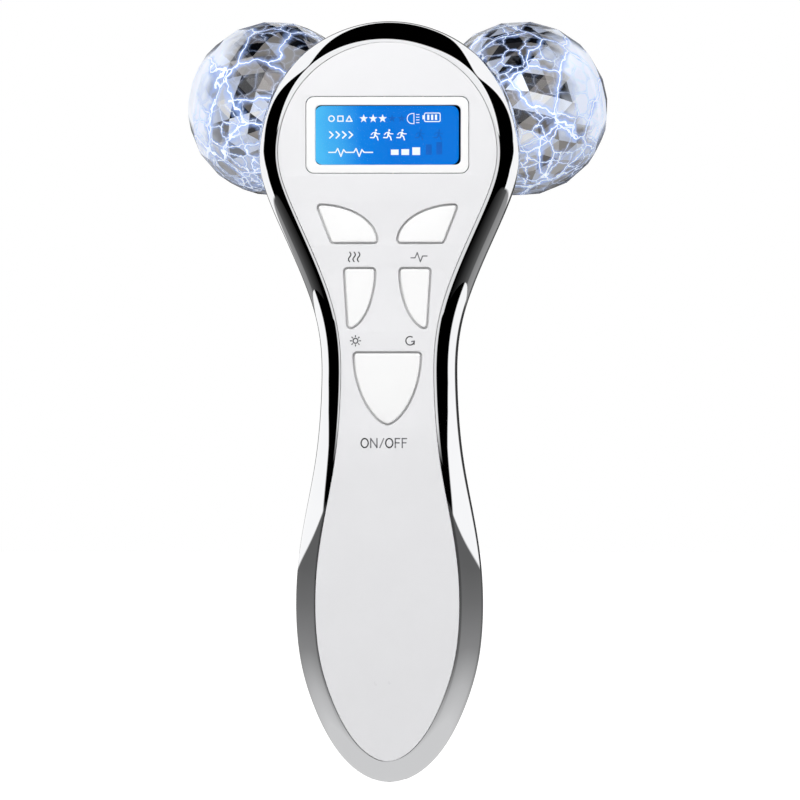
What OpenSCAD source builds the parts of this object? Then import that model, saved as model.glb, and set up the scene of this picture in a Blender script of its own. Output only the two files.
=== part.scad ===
// Hand-held facial toning device: a chrome-cased handle with a round display head,
// five push buttons, a vibration motor and two faceted rollers on splayed axles.
// X runs to the user's right, Y from the face to the back, Z up the handle.
// The origin is the mouth of the charging socket, at the bottom tip, on the parting plane.

/* [Outline] */
// Length of the body
body_len = 170; // [160:1:182]
// Radius of the round head
head_r = 29.3; // [28.6:0.1:31]
// Half width of the neck
neck_r = 15.2; // [14.6:0.1:17]
// Height of the neck's narrowest place
neck_z = 89; // [86:0.5:91]
// Half width of the grip
grip_r = 20.6; // [19:0.1:24]
// Height of the grip's widest place
grip_z = 40; // [36:0.5:43]
// Half width of the toe, near the tip
toe_r = 10.8; // [10:0.1:12]
// Height of the toe
toe_z = 6; // [5:0.1:7]

/* [Depth] */
// Depth of the case in front of the parting plane
front_d = 7.5; // [7:0.1:9]
// Depth of the dome behind the head
head_d = 10; // [9:0.1:10.4]
// Depth of the case behind the neck
neck_d = 11.5; // [11:0.1:15]
// Depth of the case behind the grip
grip_d = 16; // [15:0.1:20]
// Depth of the case behind the heel
heel_d = 13; // [12.4:0.1:15]
// Height at which the heel starts to round off
heel_z = 16; // [14:0.5:20]

/* [Walls] */
// Wall of the case
wall = 2; // [1.6:0.1:2.2]
// Width of the curved rim around the face plate
bezel_w = 4.7; // [4.2:0.1:5.2]
// Thickness of the face plate
plate_t = 1; // [0.8:0.1:1.2]
// Thickness of the chassis deck under the face plate
deck_t = 1.5; // [1.3:0.1:1.7]
// Width of the ledge that the deck lies on
ledge_w = 2; // [1.6:0.1:2.2]
// Thickness of the ledge
ledge_t = 1.2; // [1:0.1:1.6]
// Clearance where one part drops into another
drop_fit = 0.1; // [0.08:0.01:0.15]

/* [Display] */
// Width of the display surround
frame_w = 36.3; // [35:0.1:38]
// Height of the display surround
frame_h = 17; // [16.4:0.1:18]
// Corner radius of the display surround
frame_r = 1.8; // [1.2:0.1:2.5]
// Width of the display window
window_w = 32.6; // [30:0.1:33]
// Height of the display window
window_h = 13.4; // [12:0.1:13.8]
// Height of the display's centre above the head's centre
display_rise = 3.8; // [3.2:0.1:4.4]
// Thickness of the clear window
lens_t = 1; // [0.8:0.1:1.2]
// Thickness of the display glass
glass_t = 1.8; // [1.4:0.1:2.2]

/* [Buttons] */
// Travel of a button
button_travel = 0.5; // [0.3:0.05:0.7]
// Groove between a button and the face plate
button_gap = 0.45; // [0.35:0.05:0.55]
// Corner radius of a button
button_r = 0.7; // [0.4:0.1:0.9]
// Width of an upper, wing-shaped button
wing_w = 13.2; // [12.4:0.1:13.6]
// Height of an upper, wing-shaped button
wing_h = 8.2; // [7.6:0.1:8.6]
// Width of a middle, fin-shaped button
fin_w = 6.6; // [6.2:0.1:6.8]
// Height of a middle, fin-shaped button
fin_h = 13.1; // [12:0.1:13.4]
// Width of the lower, shield-shaped button
shield_w = 14.7; // [13.6:0.1:15.4]
// Height of the lower, shield-shaped button
shield_h = 15.7; // [14.6:0.1:16]

/* [Rollers] */
// Radius of a roller over its facet corners
ball_r = 20; // [18.5:0.1:20.4]
// Sideways place of a roller's centre
ball_x = 27.6; // [27.4:0.1:30]
// Place of a roller's centre behind the parting plane
ball_y = 26.5; // [26.2:0.1:29]
// Height of a roller's centre above the head's centre
ball_rise = 10.2; // [9:0.1:13]
// Wall of the clear roller shell
crystal_t = 2.6; // [2.2:0.1:2.8]
// Number of facets round a roller
facets = 16; // [12:2:20]
// Radius of an axle
axle_r = 2; // [1.6:0.1:2.2]
// Running clearance of an axle in its bushes
axle_fit = 0.03; // [0.02:0.01:0.06]
// Outside radius of a bush
bush_r = 3.2; // [3:0.1:3.5]
// Length of a bush
bush_len = 5; // [3:0.5:7]

/* [Yoke] */
// Radius of the yoke's boss
boss_r = 7.5; // [7:0.1:8]
// Radius of a yoke arm
arm_r = 5; // [4.8:0.1:5.4]
// Place where the axle lines meet, behind the parting plane
hub_y = 11; // [10.6:0.1:12]
// Height where the axle lines meet, above the head's centre
hub_rise = 2.3; // [1:0.1:3]
// Radius of the yoke's flange inside the case
flange_r = 12; // [11.8:0.1:12.6]
// Thickness of the yoke's flange
flange_t = 2; // [1.6:0.1:2.4]

/* [Electrics] */
// Thickness of the circuit boards
board_t = 1.6; // [1:0.1:1.8]
// Place of the main board's front face behind the parting plane
board_y = 1; // [0.6:0.1:1.4]
// Radius of the battery
cell_r = 7; // [6:0.1:7.2]
// Length of the battery
cell_len = 42; // [36:0.5:43]
// Radius of the vibration motor
motor_r = 5; // [4:0.1:5.2]
// Length of the vibration motor's can
motor_len = 8.6; // [7:0.1:9]
// Width of the charging socket
socket_w = 7.5; // [7.3:0.1:7.7]
// Height of the charging socket's mouth
socket_h = 2.7; // [2.5:0.1:2.9]

/* [Hidden] */
$fn = 48;

chrome = [0.82, 0.83, 0.85];
pearl = [0.93, 0.93, 0.93];
white = [0.97, 0.97, 0.97];
steel = [0.68, 0.69, 0.71];
brass = [0.78, 0.62, 0.32];
crystal = [0.78, 0.82, 0.9, 0.6];
nylon = [0.85, 0.85, 0.82];
black = [0.12, 0.12, 0.13];

// ---- Outline of the case, a closed smooth curve through named points ----

head_z = body_len - head_r;
head_step = 30;      // degrees between the points on the head's circle
knot_steps = 4;      // stretches between two named points
right_knots = [
    [0, body_len],
    for (a = [90 - head_step : -head_step : -head_step]) [head_r * cos(a), head_z + head_r * sin(a)],
    [neck_r + 1.9, neck_z + 17],
    [neck_r, neck_z],
    [neck_r + 1.1, neck_z - 15],
    [grip_r - 2.1, grip_z + 21.4],
    [grip_r, grip_z + 7.4],
    [grip_r, grip_z - 7.5],
    [grip_r - 2.8, (grip_z + toe_z) / 2 - 3.6],
    [toe_r, toe_z],
    [0, 0]
];
knots = concat(
    right_knots,
    [for (i = [len(right_knots) - 2 : -1 : 1]) [-right_knots[i].x, right_knots[i].y]]
);
n_knots = len(knots);
n_rim = n_knots * knot_steps;
n_half = n_rim / 2;

// Moves the control points until the curve passes through every knot
function settled(control, rounds) = rounds == 0 ? control : settled(
    [for (i = [0 : n_knots - 1]) control[i] + knots[i]
        - (control[(i + n_knots - 1) % n_knots] + 4 * control[i] + control[(i + 1) % n_knots]) / 6],
    rounds - 1);
control = settled(knots, 12);

function corner(i, k) = control[(i + k + n_knots) % n_knots];
function curve_point(i, t) = (
    pow(1 - t, 3) * corner(i, -1) + (3 * pow(t, 3) - 6 * t * t + 4) * corner(i, 0)
    + (1 + 3 * t + 3 * t * t - 3 * pow(t, 3)) * corner(i, 1) + pow(t, 3) * corner(i, 2)) / 6;
function curve_slope(i, t) = (
    -pow(1 - t, 2) * corner(i, -1) + (3 * t * t - 4 * t) * corner(i, 0)
    + (1 + 2 * t - 3 * t * t) * corner(i, 1) + t * t * corner(i, 2)) / 2;
rim = [for (i = [0 : n_knots - 1], s = [0 : knot_steps - 1]) curve_point(i, s / knot_steps)];
rim_out = [for (i = [0 : n_knots - 1], s = [0 : knot_steps - 1])
    let (d = curve_slope(i, s / knot_steps)) [-d.y, d.x] / norm(d)];

// The outline moved inward, as points in X and Z
function inset(d) = [for (i = [0 : n_rim - 1]) rim[i] - d * rim_out[i]];

// ---- Depth of the rear case ----

function ease(t) = let (u = min(max(t, 0), 1)) u * u * (3 - 2 * u);
function blend_depth(z, z0, d0, z1, d1) = d0 + (d1 - d0) * ease((z - z0) / (z1 - z0));
function spine_depth(z) =
    z > neck_z ? blend_depth(z, neck_z, neck_d, head_z, head_d)
    : z > grip_z ? blend_depth(z, grip_z, grip_d, neck_z, neck_d)
    : blend_depth(z, 0, heel_d, grip_z, grip_d);
function round_off(u) = sqrt(1 - pow(min(u, 0.9985), 2));
function end_cap(z, w) =
    z > head_z ? round_off((z - head_z) / (head_r - w))
    : z < heel_z ? round_off((heel_z - z) / (heel_z - w))
    : 1;
// Depth of the case at the middle of its width, w inside the outer surface
function rear_depth(z, w) = (spine_depth(z) - w) * end_cap(z, w);

// ---- Planes, as places along Y ----

plate_y = -front_d;
deck_y = plate_y + plate_t;
ledge_y = deck_y + deck_t;
board_back = board_y + board_t;

// ---- Places of the buttons ----

wing_z = head_z - 20.1;      // lower edge of the upper buttons
wing_x = 15.6;               // outer corner of the upper buttons
fin_z = wing_z - 6;          // upper edge of the middle buttons
fin_x = 9.5;                 // outer corner of the middle buttons
shield_z = fin_z - fin_h - 5.7;   // upper edge of the lower button

// ---- Shapes used more than once ----

// A solid swept round the outline; profile is a loop of [inset, y]
module rim_sweep(profile) {
    n = len(profile);
    rings = [for (p = profile) inset(p[0])];
    polyhedron(
        [for (i = [0 : n_rim - 1], j = [0 : n - 1]) [rings[j][i].x, profile[j][1], rings[j][i].y]],
        [for (i = [0 : n_rim - 1], j = [0 : n - 1])
            let (a = i * n + j, b = i * n + (j + 1) % n,
                 c = ((i + 1) % n_rim) * n + j, d = ((i + 1) % n_rim) * n + (j + 1) % n)
            each [[a, c, b], [b, c, d]]]);
}

// A flat plate with the case's outline, d inside it, from y0 to y1
module rim_plate(d, y0, y1) {
    translate([0, y1, 0])
        rotate([90, 0, 0])
            linear_extrude(y1 - y0)
                polygon(inset(d));
}

// A flat shape given in X and Z, from y0 to y1
module slab(y0, y1) {
    translate([0, y1, 0])
        rotate([90, 0, 0])
            linear_extrude(y1 - y0)
                children();
}

// A round bar along Y
module bar(x, z, r, y0, y1) {
    translate([x, y0, z])
        rotate([-90, 0, 0])
            cylinder(r = r, h = y1 - y0);
}

// A block given by its two corners
module block(low, high) {
    translate(low)
        cube(high - low);
}

module rounded_window(w, h, r) {
    offset(r, $fn = 40)
        square([w - 2 * r, h - 2 * r], center = true);
}

// ---- Case ----

rows = 16;          // stretches across the rear case's outer surface
inner_rows = 10;    // stretches across its inner surface

// Points of one dome surface, row by row from the top to the tip, without the two end points
function dome_points(w, n) = let (loop = inset(w))
    [for (i = [1 : n_half - 1], j = [0 : n])
        let (a = 180 * j / n, z = loop[i].y)
        [loop[i].x * cos(a), rear_depth(z, w) * sin(a), z]];
function dome_ends(w) = let (loop = inset(w)) [[0, 0, loop[0].y], [0, 0, loop[n_half].y]];
function dome_faces(start, n, top, tip, flip) = [
    for (j = [0 : n - 1]) flip ? [top, start + j + 1, start + j] : [top, start + j, start + j + 1],
    for (i = [0 : n_half - 3], j = [0 : n - 1])
        let (a = start + i * (n + 1) + j, c = a + n + 1)
        each flip ? [[a, a + 1, c], [a + 1, c + 1, c]] : [[a, c, a + 1], [a + 1, c, c + 1]],
    for (j = [0 : n - 1])
        let (a = start + (n_half - 2) * (n + 1) + j)
        flip ? [tip, a, a + 1] : [tip, a + 1, a]
];

// The rear case's wall, between its outer and inner dome
module rear_shell() {
    outer = dome_points(0, rows);
    inner = dome_points(wall, inner_rows);
    ends = concat(dome_ends(0), dome_ends(wall));
    first_inner = len(outer);
    first_end = first_inner + len(inner);
    // The rim's points in order round the outline, on the outer and the inner dome
    outer_rim = concat(
        [first_end], [for (i = [0 : n_half - 2]) i * (rows + 1)],
        [first_end + 1], [for (i = [n_half - 2 : -1 : 0]) i * (rows + 1) + rows]);
    inner_rim = concat(
        [first_end + 2], [for (i = [0 : n_half - 2]) first_inner + i * (inner_rows + 1)],
        [first_end + 3],
        [for (i = [n_half - 2 : -1 : 0]) first_inner + i * (inner_rows + 1) + inner_rows]);
    polyhedron(
        concat(outer, inner, ends),
        concat(
            dome_faces(0, rows, first_end, first_end + 1, true),
            dome_faces(first_inner, inner_rows, first_end + 2, first_end + 3, false),
            [for (i = [0 : n_rim - 1]) let (k = (i + 1) % n_rim)
                each [[outer_rim[i], outer_rim[k], inner_rim[k]],
                      [outer_rim[i], inner_rim[k], inner_rim[i]]]]));
}

// The chassis skirt, inside the ledge
skirt_in = bezel_w + ledge_w + 0.4;
skirt_t = 1.2;
skirt_y = board_y - 1;

// The battery stands on the heel; a screw passes between it and the motor
cell_z = heel_z - 0.5;
post_r = 2.2;
post_gap = 0.4;
low_screw_z = cell_z + cell_len + post_gap + post_r;

// Screws through the deck into the rear case: [x, z]
post_room = 3.3;        // from a button or the display to the middle of a screw
screw_x = head_r - skirt_in - skirt_t - 5.8;
case_screw_spots = [
    [0, head_z + head_r - skirt_in - skirt_t - 3.2],
    [-screw_x, head_z + display_rise - frame_h / 2 - post_room + 0.3],
    [screw_x, head_z + display_rise - frame_h / 2 - post_room + 0.3],
    [0, wing_z - post_room],
    [0, low_screw_z],
    [0, heel_z - 5]
];
screw_r = 0.95;
screw_fit = 0.05;
screw_head_r = 1.9;
screw_head_t = 0.8;
screw_bite = 9;

// Half way through the rear wall at a place on the case
function mid_wall(x, z) = let (
        w = lookup(z, [for (i = [n_half : -1 : 0]) [rim[i].y, rim[i].x]]),
        u = abs(x) / w)
    (rear_depth(z, 0) * round_off(u) + rear_depth(z, wall) * round_off(abs(x) / (w - wall))) / 2;

module rear_housing() {
    pad_end = (rear_depth(head_z, wall) + head_d * round_off((flange_r + hub_rise) / head_r)) / 2;
    color(chrome)
        difference() {
            union() {
                rear_shell();
                for (s = case_screw_spots)
                    bar(s.x, s.y, post_r, ledge_y, mid_wall(s.x, s.y));
                bar(0, hub_z, flange_r + 0.5, flange_y, pad_end);
            }
            for (s = case_screw_spots)
                bar(s.x, s.y, screw_r + screw_fit, ledge_y - 1, ledge_y + screw_bite);
            bar(0, hub_z, boss_r + drop_fit, flange_y - 1, head_d + 1);
            bar(0, hub_z, boss_r + seal_w, flange_y - 1, flange_y + seal_t);
            for (a = yoke_screw_angles)
                translate([0, 0, hub_z])
                    rotate([0, a, 0])
                        bar(yoke_screw_ring, 0, screw_r + screw_fit, flange_y - 1, flange_y + yoke_bite);
            socket_slot();
        }
}

module bezel_ring() {
    steps = 8;
    back_y = ledge_y + ledge_t;
    color(chrome)
        difference() {
            rim_sweep(concat(
                [for (k = [0 : steps])
                    let (a = 90 * k / steps) [bezel_w * (1 - cos(a)), -front_d * sin(a)]],
                [[bezel_w, ledge_y], [bezel_w + ledge_w, ledge_y], [bezel_w + ledge_w, back_y],
                 [wall + 1, back_y], [wall, back_y + 1.2], [wall, 0]]));
            socket_slot();
        }
}

// ---- Chassis and face plate ----

board_inset = skirt_in + skirt_t - 4;

// Board screws beside the display and between the middle buttons and the lower one: [x, z]
board_post_r = 1.9;
top_spot = [head_r - skirt_in - skirt_t - 8, head_z + head_r - skirt_in - skirt_t - 6.5];
low_spot = [neck_r - skirt_in - board_post_r, (fin_z - fin_h + shield_z) / 2];
board_spots = [[-top_spot.x, top_spot.y], top_spot, [-low_spot.x, low_spot.y], low_spot];
board_screw_bite = 4;

module chassis() {
    color(nylon)
        difference() {
            union() {
                rim_plate(bezel_w + drop_fit, deck_y, ledge_y);
                difference() {
                    rim_plate(skirt_in, ledge_y - 0.1, skirt_y);
                    rim_plate(skirt_in + skirt_t, ledge_y - 0.2, skirt_y + 1);
                    // Room for the switches
                    slab(switch_y - plunger_out - drop_fit, skirt_y + 1)
                        for (name = button_names)
                            translate(switch_spot(name))
                                square(switch_size + 2 * drop_fit, center = true);
                }
                for (s = board_spots)
                    bar(s.x, s.y, board_post_r, ledge_y - 0.1, board_y);
                for (z = [cell_z + 8, cell_z + cell_len - 8])
                    block([-cell_r - 1.2, ledge_y - 0.1, z - 1], [cell_r + 1.2, cell_y, z + 1]);
                block([-motor_r - 1.2, ledge_y - 0.1, motor_z + 2],
                      [motor_r + 1.2, motor_y, motor_z + motor_len - 2]);
            }
            translate([0, 0, cell_z - 1])
                translate([0, cell_y, 0])
                    cylinder(r = cell_r + drop_fit, h = cell_len + 2);
            translate([0, motor_y, motor_z - 1])
                cylinder(r = motor_r + drop_fit, h = motor_len + 2);
            slab(deck_y - 1, ledge_y + 1)
                translate([0, display_z])
                    square([frame_w + 2 * drop_fit, frame_h + 2 * drop_fit], center = true);
            slab(deck_y - 1, ledge_y + 1)
                button_shapes(flange_lip + drop_fit * 3);
            for (s = case_screw_spots) {
                bar(s.x, s.y, screw_r + 0.2, deck_y - 1, ledge_y + 1);
                bar(s.x, s.y, screw_head_r + drop_fit, deck_y - 1, deck_y + screw_head_t);
            }
            for (s = board_spots)
                bar(s.x, s.y, screw_r + screw_fit, board_y - board_screw_bite, board_y + 1);
        }
}

module face_plate() {
    color(pearl)
        difference() {
            rim_plate(bezel_w + drop_fit, plate_y, deck_y);
            slab(plate_y - 1, deck_y + 1)
                translate([0, display_z])
                    rounded_window(frame_w + 2 * drop_fit, frame_h + 2 * drop_fit, frame_r);
            slab(plate_y - 1, deck_y + 1)
                button_shapes(button_gap);
        }
}

// ---- Display ----

display_z = head_z + display_rise;
frame_y = plate_y + 0.05;
lens_y = plate_y + 0.6;
lip = 0.9;          // width of the shelf that the window lies on
gasket_t = 0.3;
glass_y = lens_y + lens_t + gasket_t;
light_y = glass_y + glass_t;

module display_frame() {
    color(white)
        difference() {
            slab(frame_y, ledge_y)
                translate([0, display_z])
                    rounded_window(frame_w, frame_h, frame_r);
            slab(frame_y - 1, ledge_y + 1)
                translate([0, display_z])
                    square([window_w - lip, window_h - lip], center = true);
            slab(lens_y, ledge_y + 1)
                translate([0, display_z])
                    square([window_w + drop_fit, window_h + drop_fit], center = true);
        }
}

module window_layer(w, h, y0, y1) {
    slab(y0, y1)
        translate([0, display_z])
            square([w, h], center = true);
}

module display_lens() {
    color([0.8, 0.9, 1, 0.4])
        window_layer(window_w, window_h, lens_y, lens_y + lens_t);
}

module display_gasket() {
    color(black)
        difference() {
            window_layer(window_w, window_h, lens_y + lens_t, glass_y);
            window_layer(window_w - 1.6, window_h - 1.6, lens_y, glass_y + 1);
        }
}

module lcd_glass() {
    color([0.05, 0.45, 0.9])
        window_layer(window_w, window_h, glass_y, light_y);
}

module lcd_backlight() {
    color(white)
        window_layer(window_w - 0.6, window_h - 0.6, light_y, board_y);
}

pin_pitch = 2.54;
module lcd_pins() {
    color(brass)
        for (k = [-5 : 5])
            block([k * pin_pitch - 0.25, light_y - 0.6, display_z - window_h / 2 - 0.5],
                  [k * pin_pitch + 0.25, board_y, display_z - window_h / 2]);
}

// ---- Buttons, as flat shapes in X and Z ----

arc_steps = 12;

function quarter(x, z, a, b) = [for (k = [0 : arc_steps])
    let (t = 90 * k / arc_steps) [x + a * cos(t), z + b * sin(t)]];

module rounded(r) {
    offset(r, $fn = 24)
        offset(delta = -r)
            children();
}

// The left wing: a quarter ellipse whose outer side leans in towards its foot
module wing_shape() {
    lean = 3.2;
    rounded(button_r)
        polygon(concat([[-wing_x + lean, wing_z]], quarter(-wing_x, wing_z, wing_w, wing_h)));
}

// The left fin: a quarter ellipse that hangs from its straight upper edge
module fin_shape() {
    lean = 0.8;
    blunt = 1.1;
    foot = fin_z - fin_h;
    rounded(button_r)
        polygon(concat(
            quarter(-fin_x, fin_z, fin_w, -fin_h * 1.02),
            [[-fin_x + lean, foot], [-fin_x, fin_z]]));
}

module shield_shape() {
    side = [for (k = [0 : arc_steps])
        let (u = k / arc_steps) [shield_w / 2 * pow(1 - u * u, 0.66), shield_z - shield_h * u]];
    rounded(button_r)
        polygon(concat(side, [for (k = [arc_steps - 1 : -1 : 0]) [-side[k].x, side[k].y]]));
}

module button_shape(name, grow = 0) {
    offset(grow, $fn = 24)
        if (name == "vibration") wing_shape();
        else if (name == "current") mirror([1, 0]) wing_shape();
        else if (name == "light") fin_shape();
        else if (name == "mode") mirror([1, 0]) fin_shape();
        else shield_shape();
}

button_names = ["vibration", "current", "light", "mode", "power"];
module button_shapes(grow) {
    for (name = button_names)
        button_shape(name, grow);
}

// Place of each button's switch: [x, z]
wing_spot = [wing_x - wing_w * 0.5, wing_z + wing_h * 0.42];
fin_spot = [fin_x - fin_w * 0.45, fin_z - fin_h * 0.38];
function switch_spot(name) =
    name == "vibration" ? [-wing_spot.x, wing_spot.y]
    : name == "current" ? wing_spot
    : name == "light" ? [-fin_spot.x, fin_spot.y]
    : name == "mode" ? fin_spot
    : [0, shield_z - shield_h * 0.42];

cap_y = plate_y + 0.1;
flange_lip = 0.7;
cap_flange_y = deck_y + 0.1;
cap_flange_t = 0.6;
stem_r = 1.3;
switch_size = 4.4;
switch_t = 2;
switch_y = board_y - switch_t;
plunger_r = 1.1;
plunger_out = 0.8;

module button_cap(name) {
    spot = switch_spot(name);
    slab(cap_y, cap_flange_y + cap_flange_t)
        button_shape(name);
    slab(cap_flange_y, cap_flange_y + cap_flange_t)
        button_shape(name, flange_lip);
    bar(spot.x, spot.y, stem_r, cap_flange_y + cap_flange_t - 0.1, switch_y - plunger_out);
}

module plunger(name) {
    spot = switch_spot(name);
    bar(spot.x, spot.y, plunger_r, switch_y - plunger_out, switch_y + 0.6);
}

module switch_bodies() {
    half = switch_size / 2;
    color(steel)
        for (name = button_names)
            let (s = switch_spot(name))
            difference() {
                block([s.x - half, switch_y, s.y - half], [s.x + half, board_y, s.y + half]);
                bar(s.x, s.y, plunger_r + 0.1, switch_y - 1, switch_y + 0.7 + button_travel);
            }
}

// ---- Main board ----

board_foot = switch_spot("power").y - switch_size / 2 - 1.2;

module main_board() {
    color([0.08, 0.35, 0.2])
        difference() {
            rim_plate(board_inset, board_y, board_back);
            block([-head_r, board_y - 1, -1], [head_r, board_back + 1, board_foot]);
            for (s = case_screw_spots)
                bar(s.x, s.y, post_r + 0.5, board_y - 1, board_back + 1);
            for (s = board_spots)
                bar(s.x, s.y, screw_r + 0.15, board_y - 1, board_back + 1);
        }
}

// Chips on the back of the board: [x, z, width, height, thickness]
chips = [
    [-7, fin_z - 3.9, 8, 8, 1.4],
    [6, fin_z - 4.9, 5, 6, 1.2],
    [0, shield_z - 4, 7, 5, 1.4],
    [-screw_x, head_z + 2, 5, 7, 1.5],
    [screw_x, head_z + 2, 4, 5, 1.2]
];
module board_chips() {
    color(black)
        for (c = chips)
            block([c[0] - c[2] / 2, board_back, c[1] - c[3] / 2],
                  [c[0] + c[2] / 2, board_back + c[4], c[1] + c[3] / 2]);
}

module board_screws() {
    color(steel)
        for (s = board_spots) {
            bar(s.x, s.y, screw_head_r, board_back, board_back + screw_head_t);
            bar(s.x, s.y, screw_r, board_y - board_screw_bite + 0.5, board_back + 0.1);
        }
}

module case_screws() {
    color(steel)
        for (s = case_screw_spots) {
            bar(s.x, s.y, screw_head_r, deck_y, deck_y + screw_head_t);
            bar(s.x, s.y, screw_r, deck_y + screw_head_t - 0.1, ledge_y + screw_bite - 1);
        }
}

// ---- Battery, motor and charging socket ----

cell_y = 3.4;
tape_t = 0.2;
tape_len = 8;
motor_y = 3.6;
motor_z = low_screw_z + post_r + post_gap;
shaft_r = 0.5;
weight_t = 3;
weight_r = motor_r - 0.7;
weight_z = motor_z + motor_len + 0.6;

module battery_cell() {
    cap_h = 1;
    color([0.2, 0.3, 0.6])
        translate([0, cell_y, cell_z])
            union() {
                cylinder(r = cell_r, h = cell_len - cap_h);
                cylinder(r = cell_r * 0.4, h = cell_len);
            }
}

module battery_tape() {
    color([0.9, 0.8, 0.2])
        translate([0, cell_y, cell_z + (cell_len - tape_len) / 2])
            difference() {
                cylinder(r = cell_r + tape_t, h = tape_len);
                translate([0, 0, -1])
                    cylinder(r = cell_r, h = tape_len + 2);
            }
}

module motor_can() {
    color(steel)
        translate([0, motor_y, motor_z])
            difference() {
                cylinder(r = motor_r, h = motor_len);
                translate([0, 0, motor_len - 4])
                    cylinder(r = shaft_r + 0.05, h = 5);
            }
}

module motor_shaft() {
    color(steel)
        translate([0, motor_y, motor_z + motor_len - 3.8])
            cylinder(r = shaft_r, h = weight_z + weight_t - motor_z - motor_len + 3.8);
}

module eccentric_weight() {
    neck = 1.6;
    color(brass)
        translate([0, motor_y, weight_z])
            difference() {
                union() {
                    cylinder(r = neck, h = weight_t);
                    intersection() {
                        cylinder(r = weight_r, h = weight_t);
                        translate([-weight_r, 0, 0])
                            cube([2 * weight_r, weight_r, weight_t]);
                    }
                }
                translate([0, 0, -1])
                    cylinder(r = shaft_r, h = weight_t + 2);
            }
}

socket_z = 0.7;
socket_len = 5.4;
socket_wall = 0.3;
socket_fit = 0.15;

// The slot through both halves of the case, at the tip
module socket_slot() {
    block([-socket_w / 2 - socket_fit, -socket_h / 2 - socket_fit, -1],
          [socket_w / 2 + socket_fit, socket_h / 2 + socket_fit, wall + 1.4]);
}

module charge_socket() {
    color(steel)
        difference() {
            block([-socket_w / 2, -socket_h / 2, socket_z],
                  [socket_w / 2, socket_h / 2, socket_z + socket_len]);
            difference() {
                block([-socket_w / 2 + socket_wall, -socket_h / 2 + socket_wall, socket_z - 1],
                      [socket_w / 2 - socket_wall, socket_h / 2 - socket_wall,
                       socket_z + socket_len - 0.6]);
                // The tongue that carries the contacts
                block([-socket_w / 2 + 1.4, -0.1, socket_z + 0.5],
                      [socket_w / 2 - 1.4, 0.5, socket_z + socket_len]);
            }
        }
}

charge_t = 0.8;
module charge_board() {
    color([0.08, 0.35, 0.2])
        block([-4.2, socket_h / 2, socket_z + 3], [4.2, socket_h / 2 + charge_t, socket_z + 7.6]);
}

// ---- Wiring ----

wire_r = 0.5;
module wire(points) {
    for (i = [0 : len(points) - 2])
        let (d = points[i + 1] - points[i])
        translate(points[i])
            rotate([0, acos(d.z / norm(d)), atan2(d.y, d.x)])
                cylinder(r = wire_r, h = norm(d), $fn = 16);
    for (i = [1 : len(points) - 2])
        translate(points[i])
            sphere(r = wire_r * 1.15, $fn = 16);
}

module wiring() {
    start_y = socket_h / 2 + charge_t + wire_r;
    run_x = cell_r + 1.5 + wire_r;      // the wires run beside the battery, behind the skirt
    run_y = skirt_y + 0.5 + wire_r;
    color([0.75, 0.1, 0.1]) {
        for (side = [-1, 1])
            wire([[side * 3, start_y, socket_z + 6], [side * 4, start_y, socket_z + 8.6],
                  [side * run_x, run_y, cell_z - 0.5], [side * run_x, run_y, cell_z + cell_len],
                  [side * 4.5, board_y + board_t / 2, board_foot]]);
        for (side = [-1, 1])
            wire([[side * 3.4, board_back + wire_r, hub_z - flange_r - 3],
                  [side * 1.6, board_back + wire_r + 0.1, hub_z - 1],
                  [side * 1.7, hub_y - 0.2, hub_z + 0.2]]);
    }
}

// ---- Yoke ----

hub_z = head_z + hub_rise;
flange_y = rear_depth(head_z, wall) - 2;
yoke_screw_ring = (boss_r + flange_r) / 2;
yoke_screw_angles = [45, 135, 225, 315];
yoke_bite = 2.2;
seal_w = 1;
seal_t = 0.8;

ball_at = [ball_x, ball_y, head_z + ball_rise];
hub_at = [0, hub_y, hub_z];
reach = ball_at - hub_at;
span = norm(reach);                 // from where the axle lines meet to a roller's centre
ball_turn = [0, acos(reach.z / span), atan2(reach.y, reach.x)];
ball_flat = ball_r - 2.5;           // the roller's inner end is cut flat at this distance
arm_gap = 0.5;
arm_end = span - ball_flat - arm_gap;
axle_start = 3;
lamp_r = 0.9;
lamp_ring = (axle_r + arm_r) / 2;

// Places its children at a roller's centre, with Z along the axle, away from the yoke
module at_ball(side) {
    mirror([side < 0 ? 1 : 0, 0, 0])
        translate(ball_at)
            rotate(ball_turn)
                children();
}

module yoke() {
    dome = [for (a = [0 : 7.5 : 90]) [boss_r * cos(a), hub_y + boss_r * sin(a)]];
    color(chrome)
        difference() {
            union() {
                translate([0, 0, hub_z])
                    rotate([-90, 0, 0])
                        rotate_extrude()
                            polygon(concat(
                                [[0, flange_y - flange_t], [flange_r, flange_y - flange_t],
                                 [flange_r, flange_y], [boss_r, flange_y]], dome));
                for (side = [-1, 1])
                    at_ball(side)
                        translate([0, 0, -span])
                            cylinder(r = arm_r, h = arm_end);
            }
            for (side = [-1, 1])
                at_ball(side) {
                    translate([0, 0, axle_start - span])
                        cylinder(r = axle_r, h = arm_end);
                    translate([lamp_ring, 0, arm_end - span - 2])
                        cylinder(r = lamp_r + 0.05, h = 3);
                }
            bar(0, hub_z, 3, flange_y - flange_t - 1, hub_y);
            for (a = yoke_screw_angles)
                translate([0, 0, hub_z])
                    rotate([0, a, 0])
                        bar(yoke_screw_ring, 0, screw_r + 0.15, flange_y - flange_t - 1, flange_y + 1);
        }
}

module yoke_seal() {
    color(black)
        translate([0, flange_y, hub_z])
            rotate([-90, 0, 0])
                difference() {
                    cylinder(r = boss_r + seal_w - drop_fit, h = seal_t - drop_fit);
                    translate([0, 0, -1])
                        cylinder(r = boss_r, h = seal_t + 2);
                }
}

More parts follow.
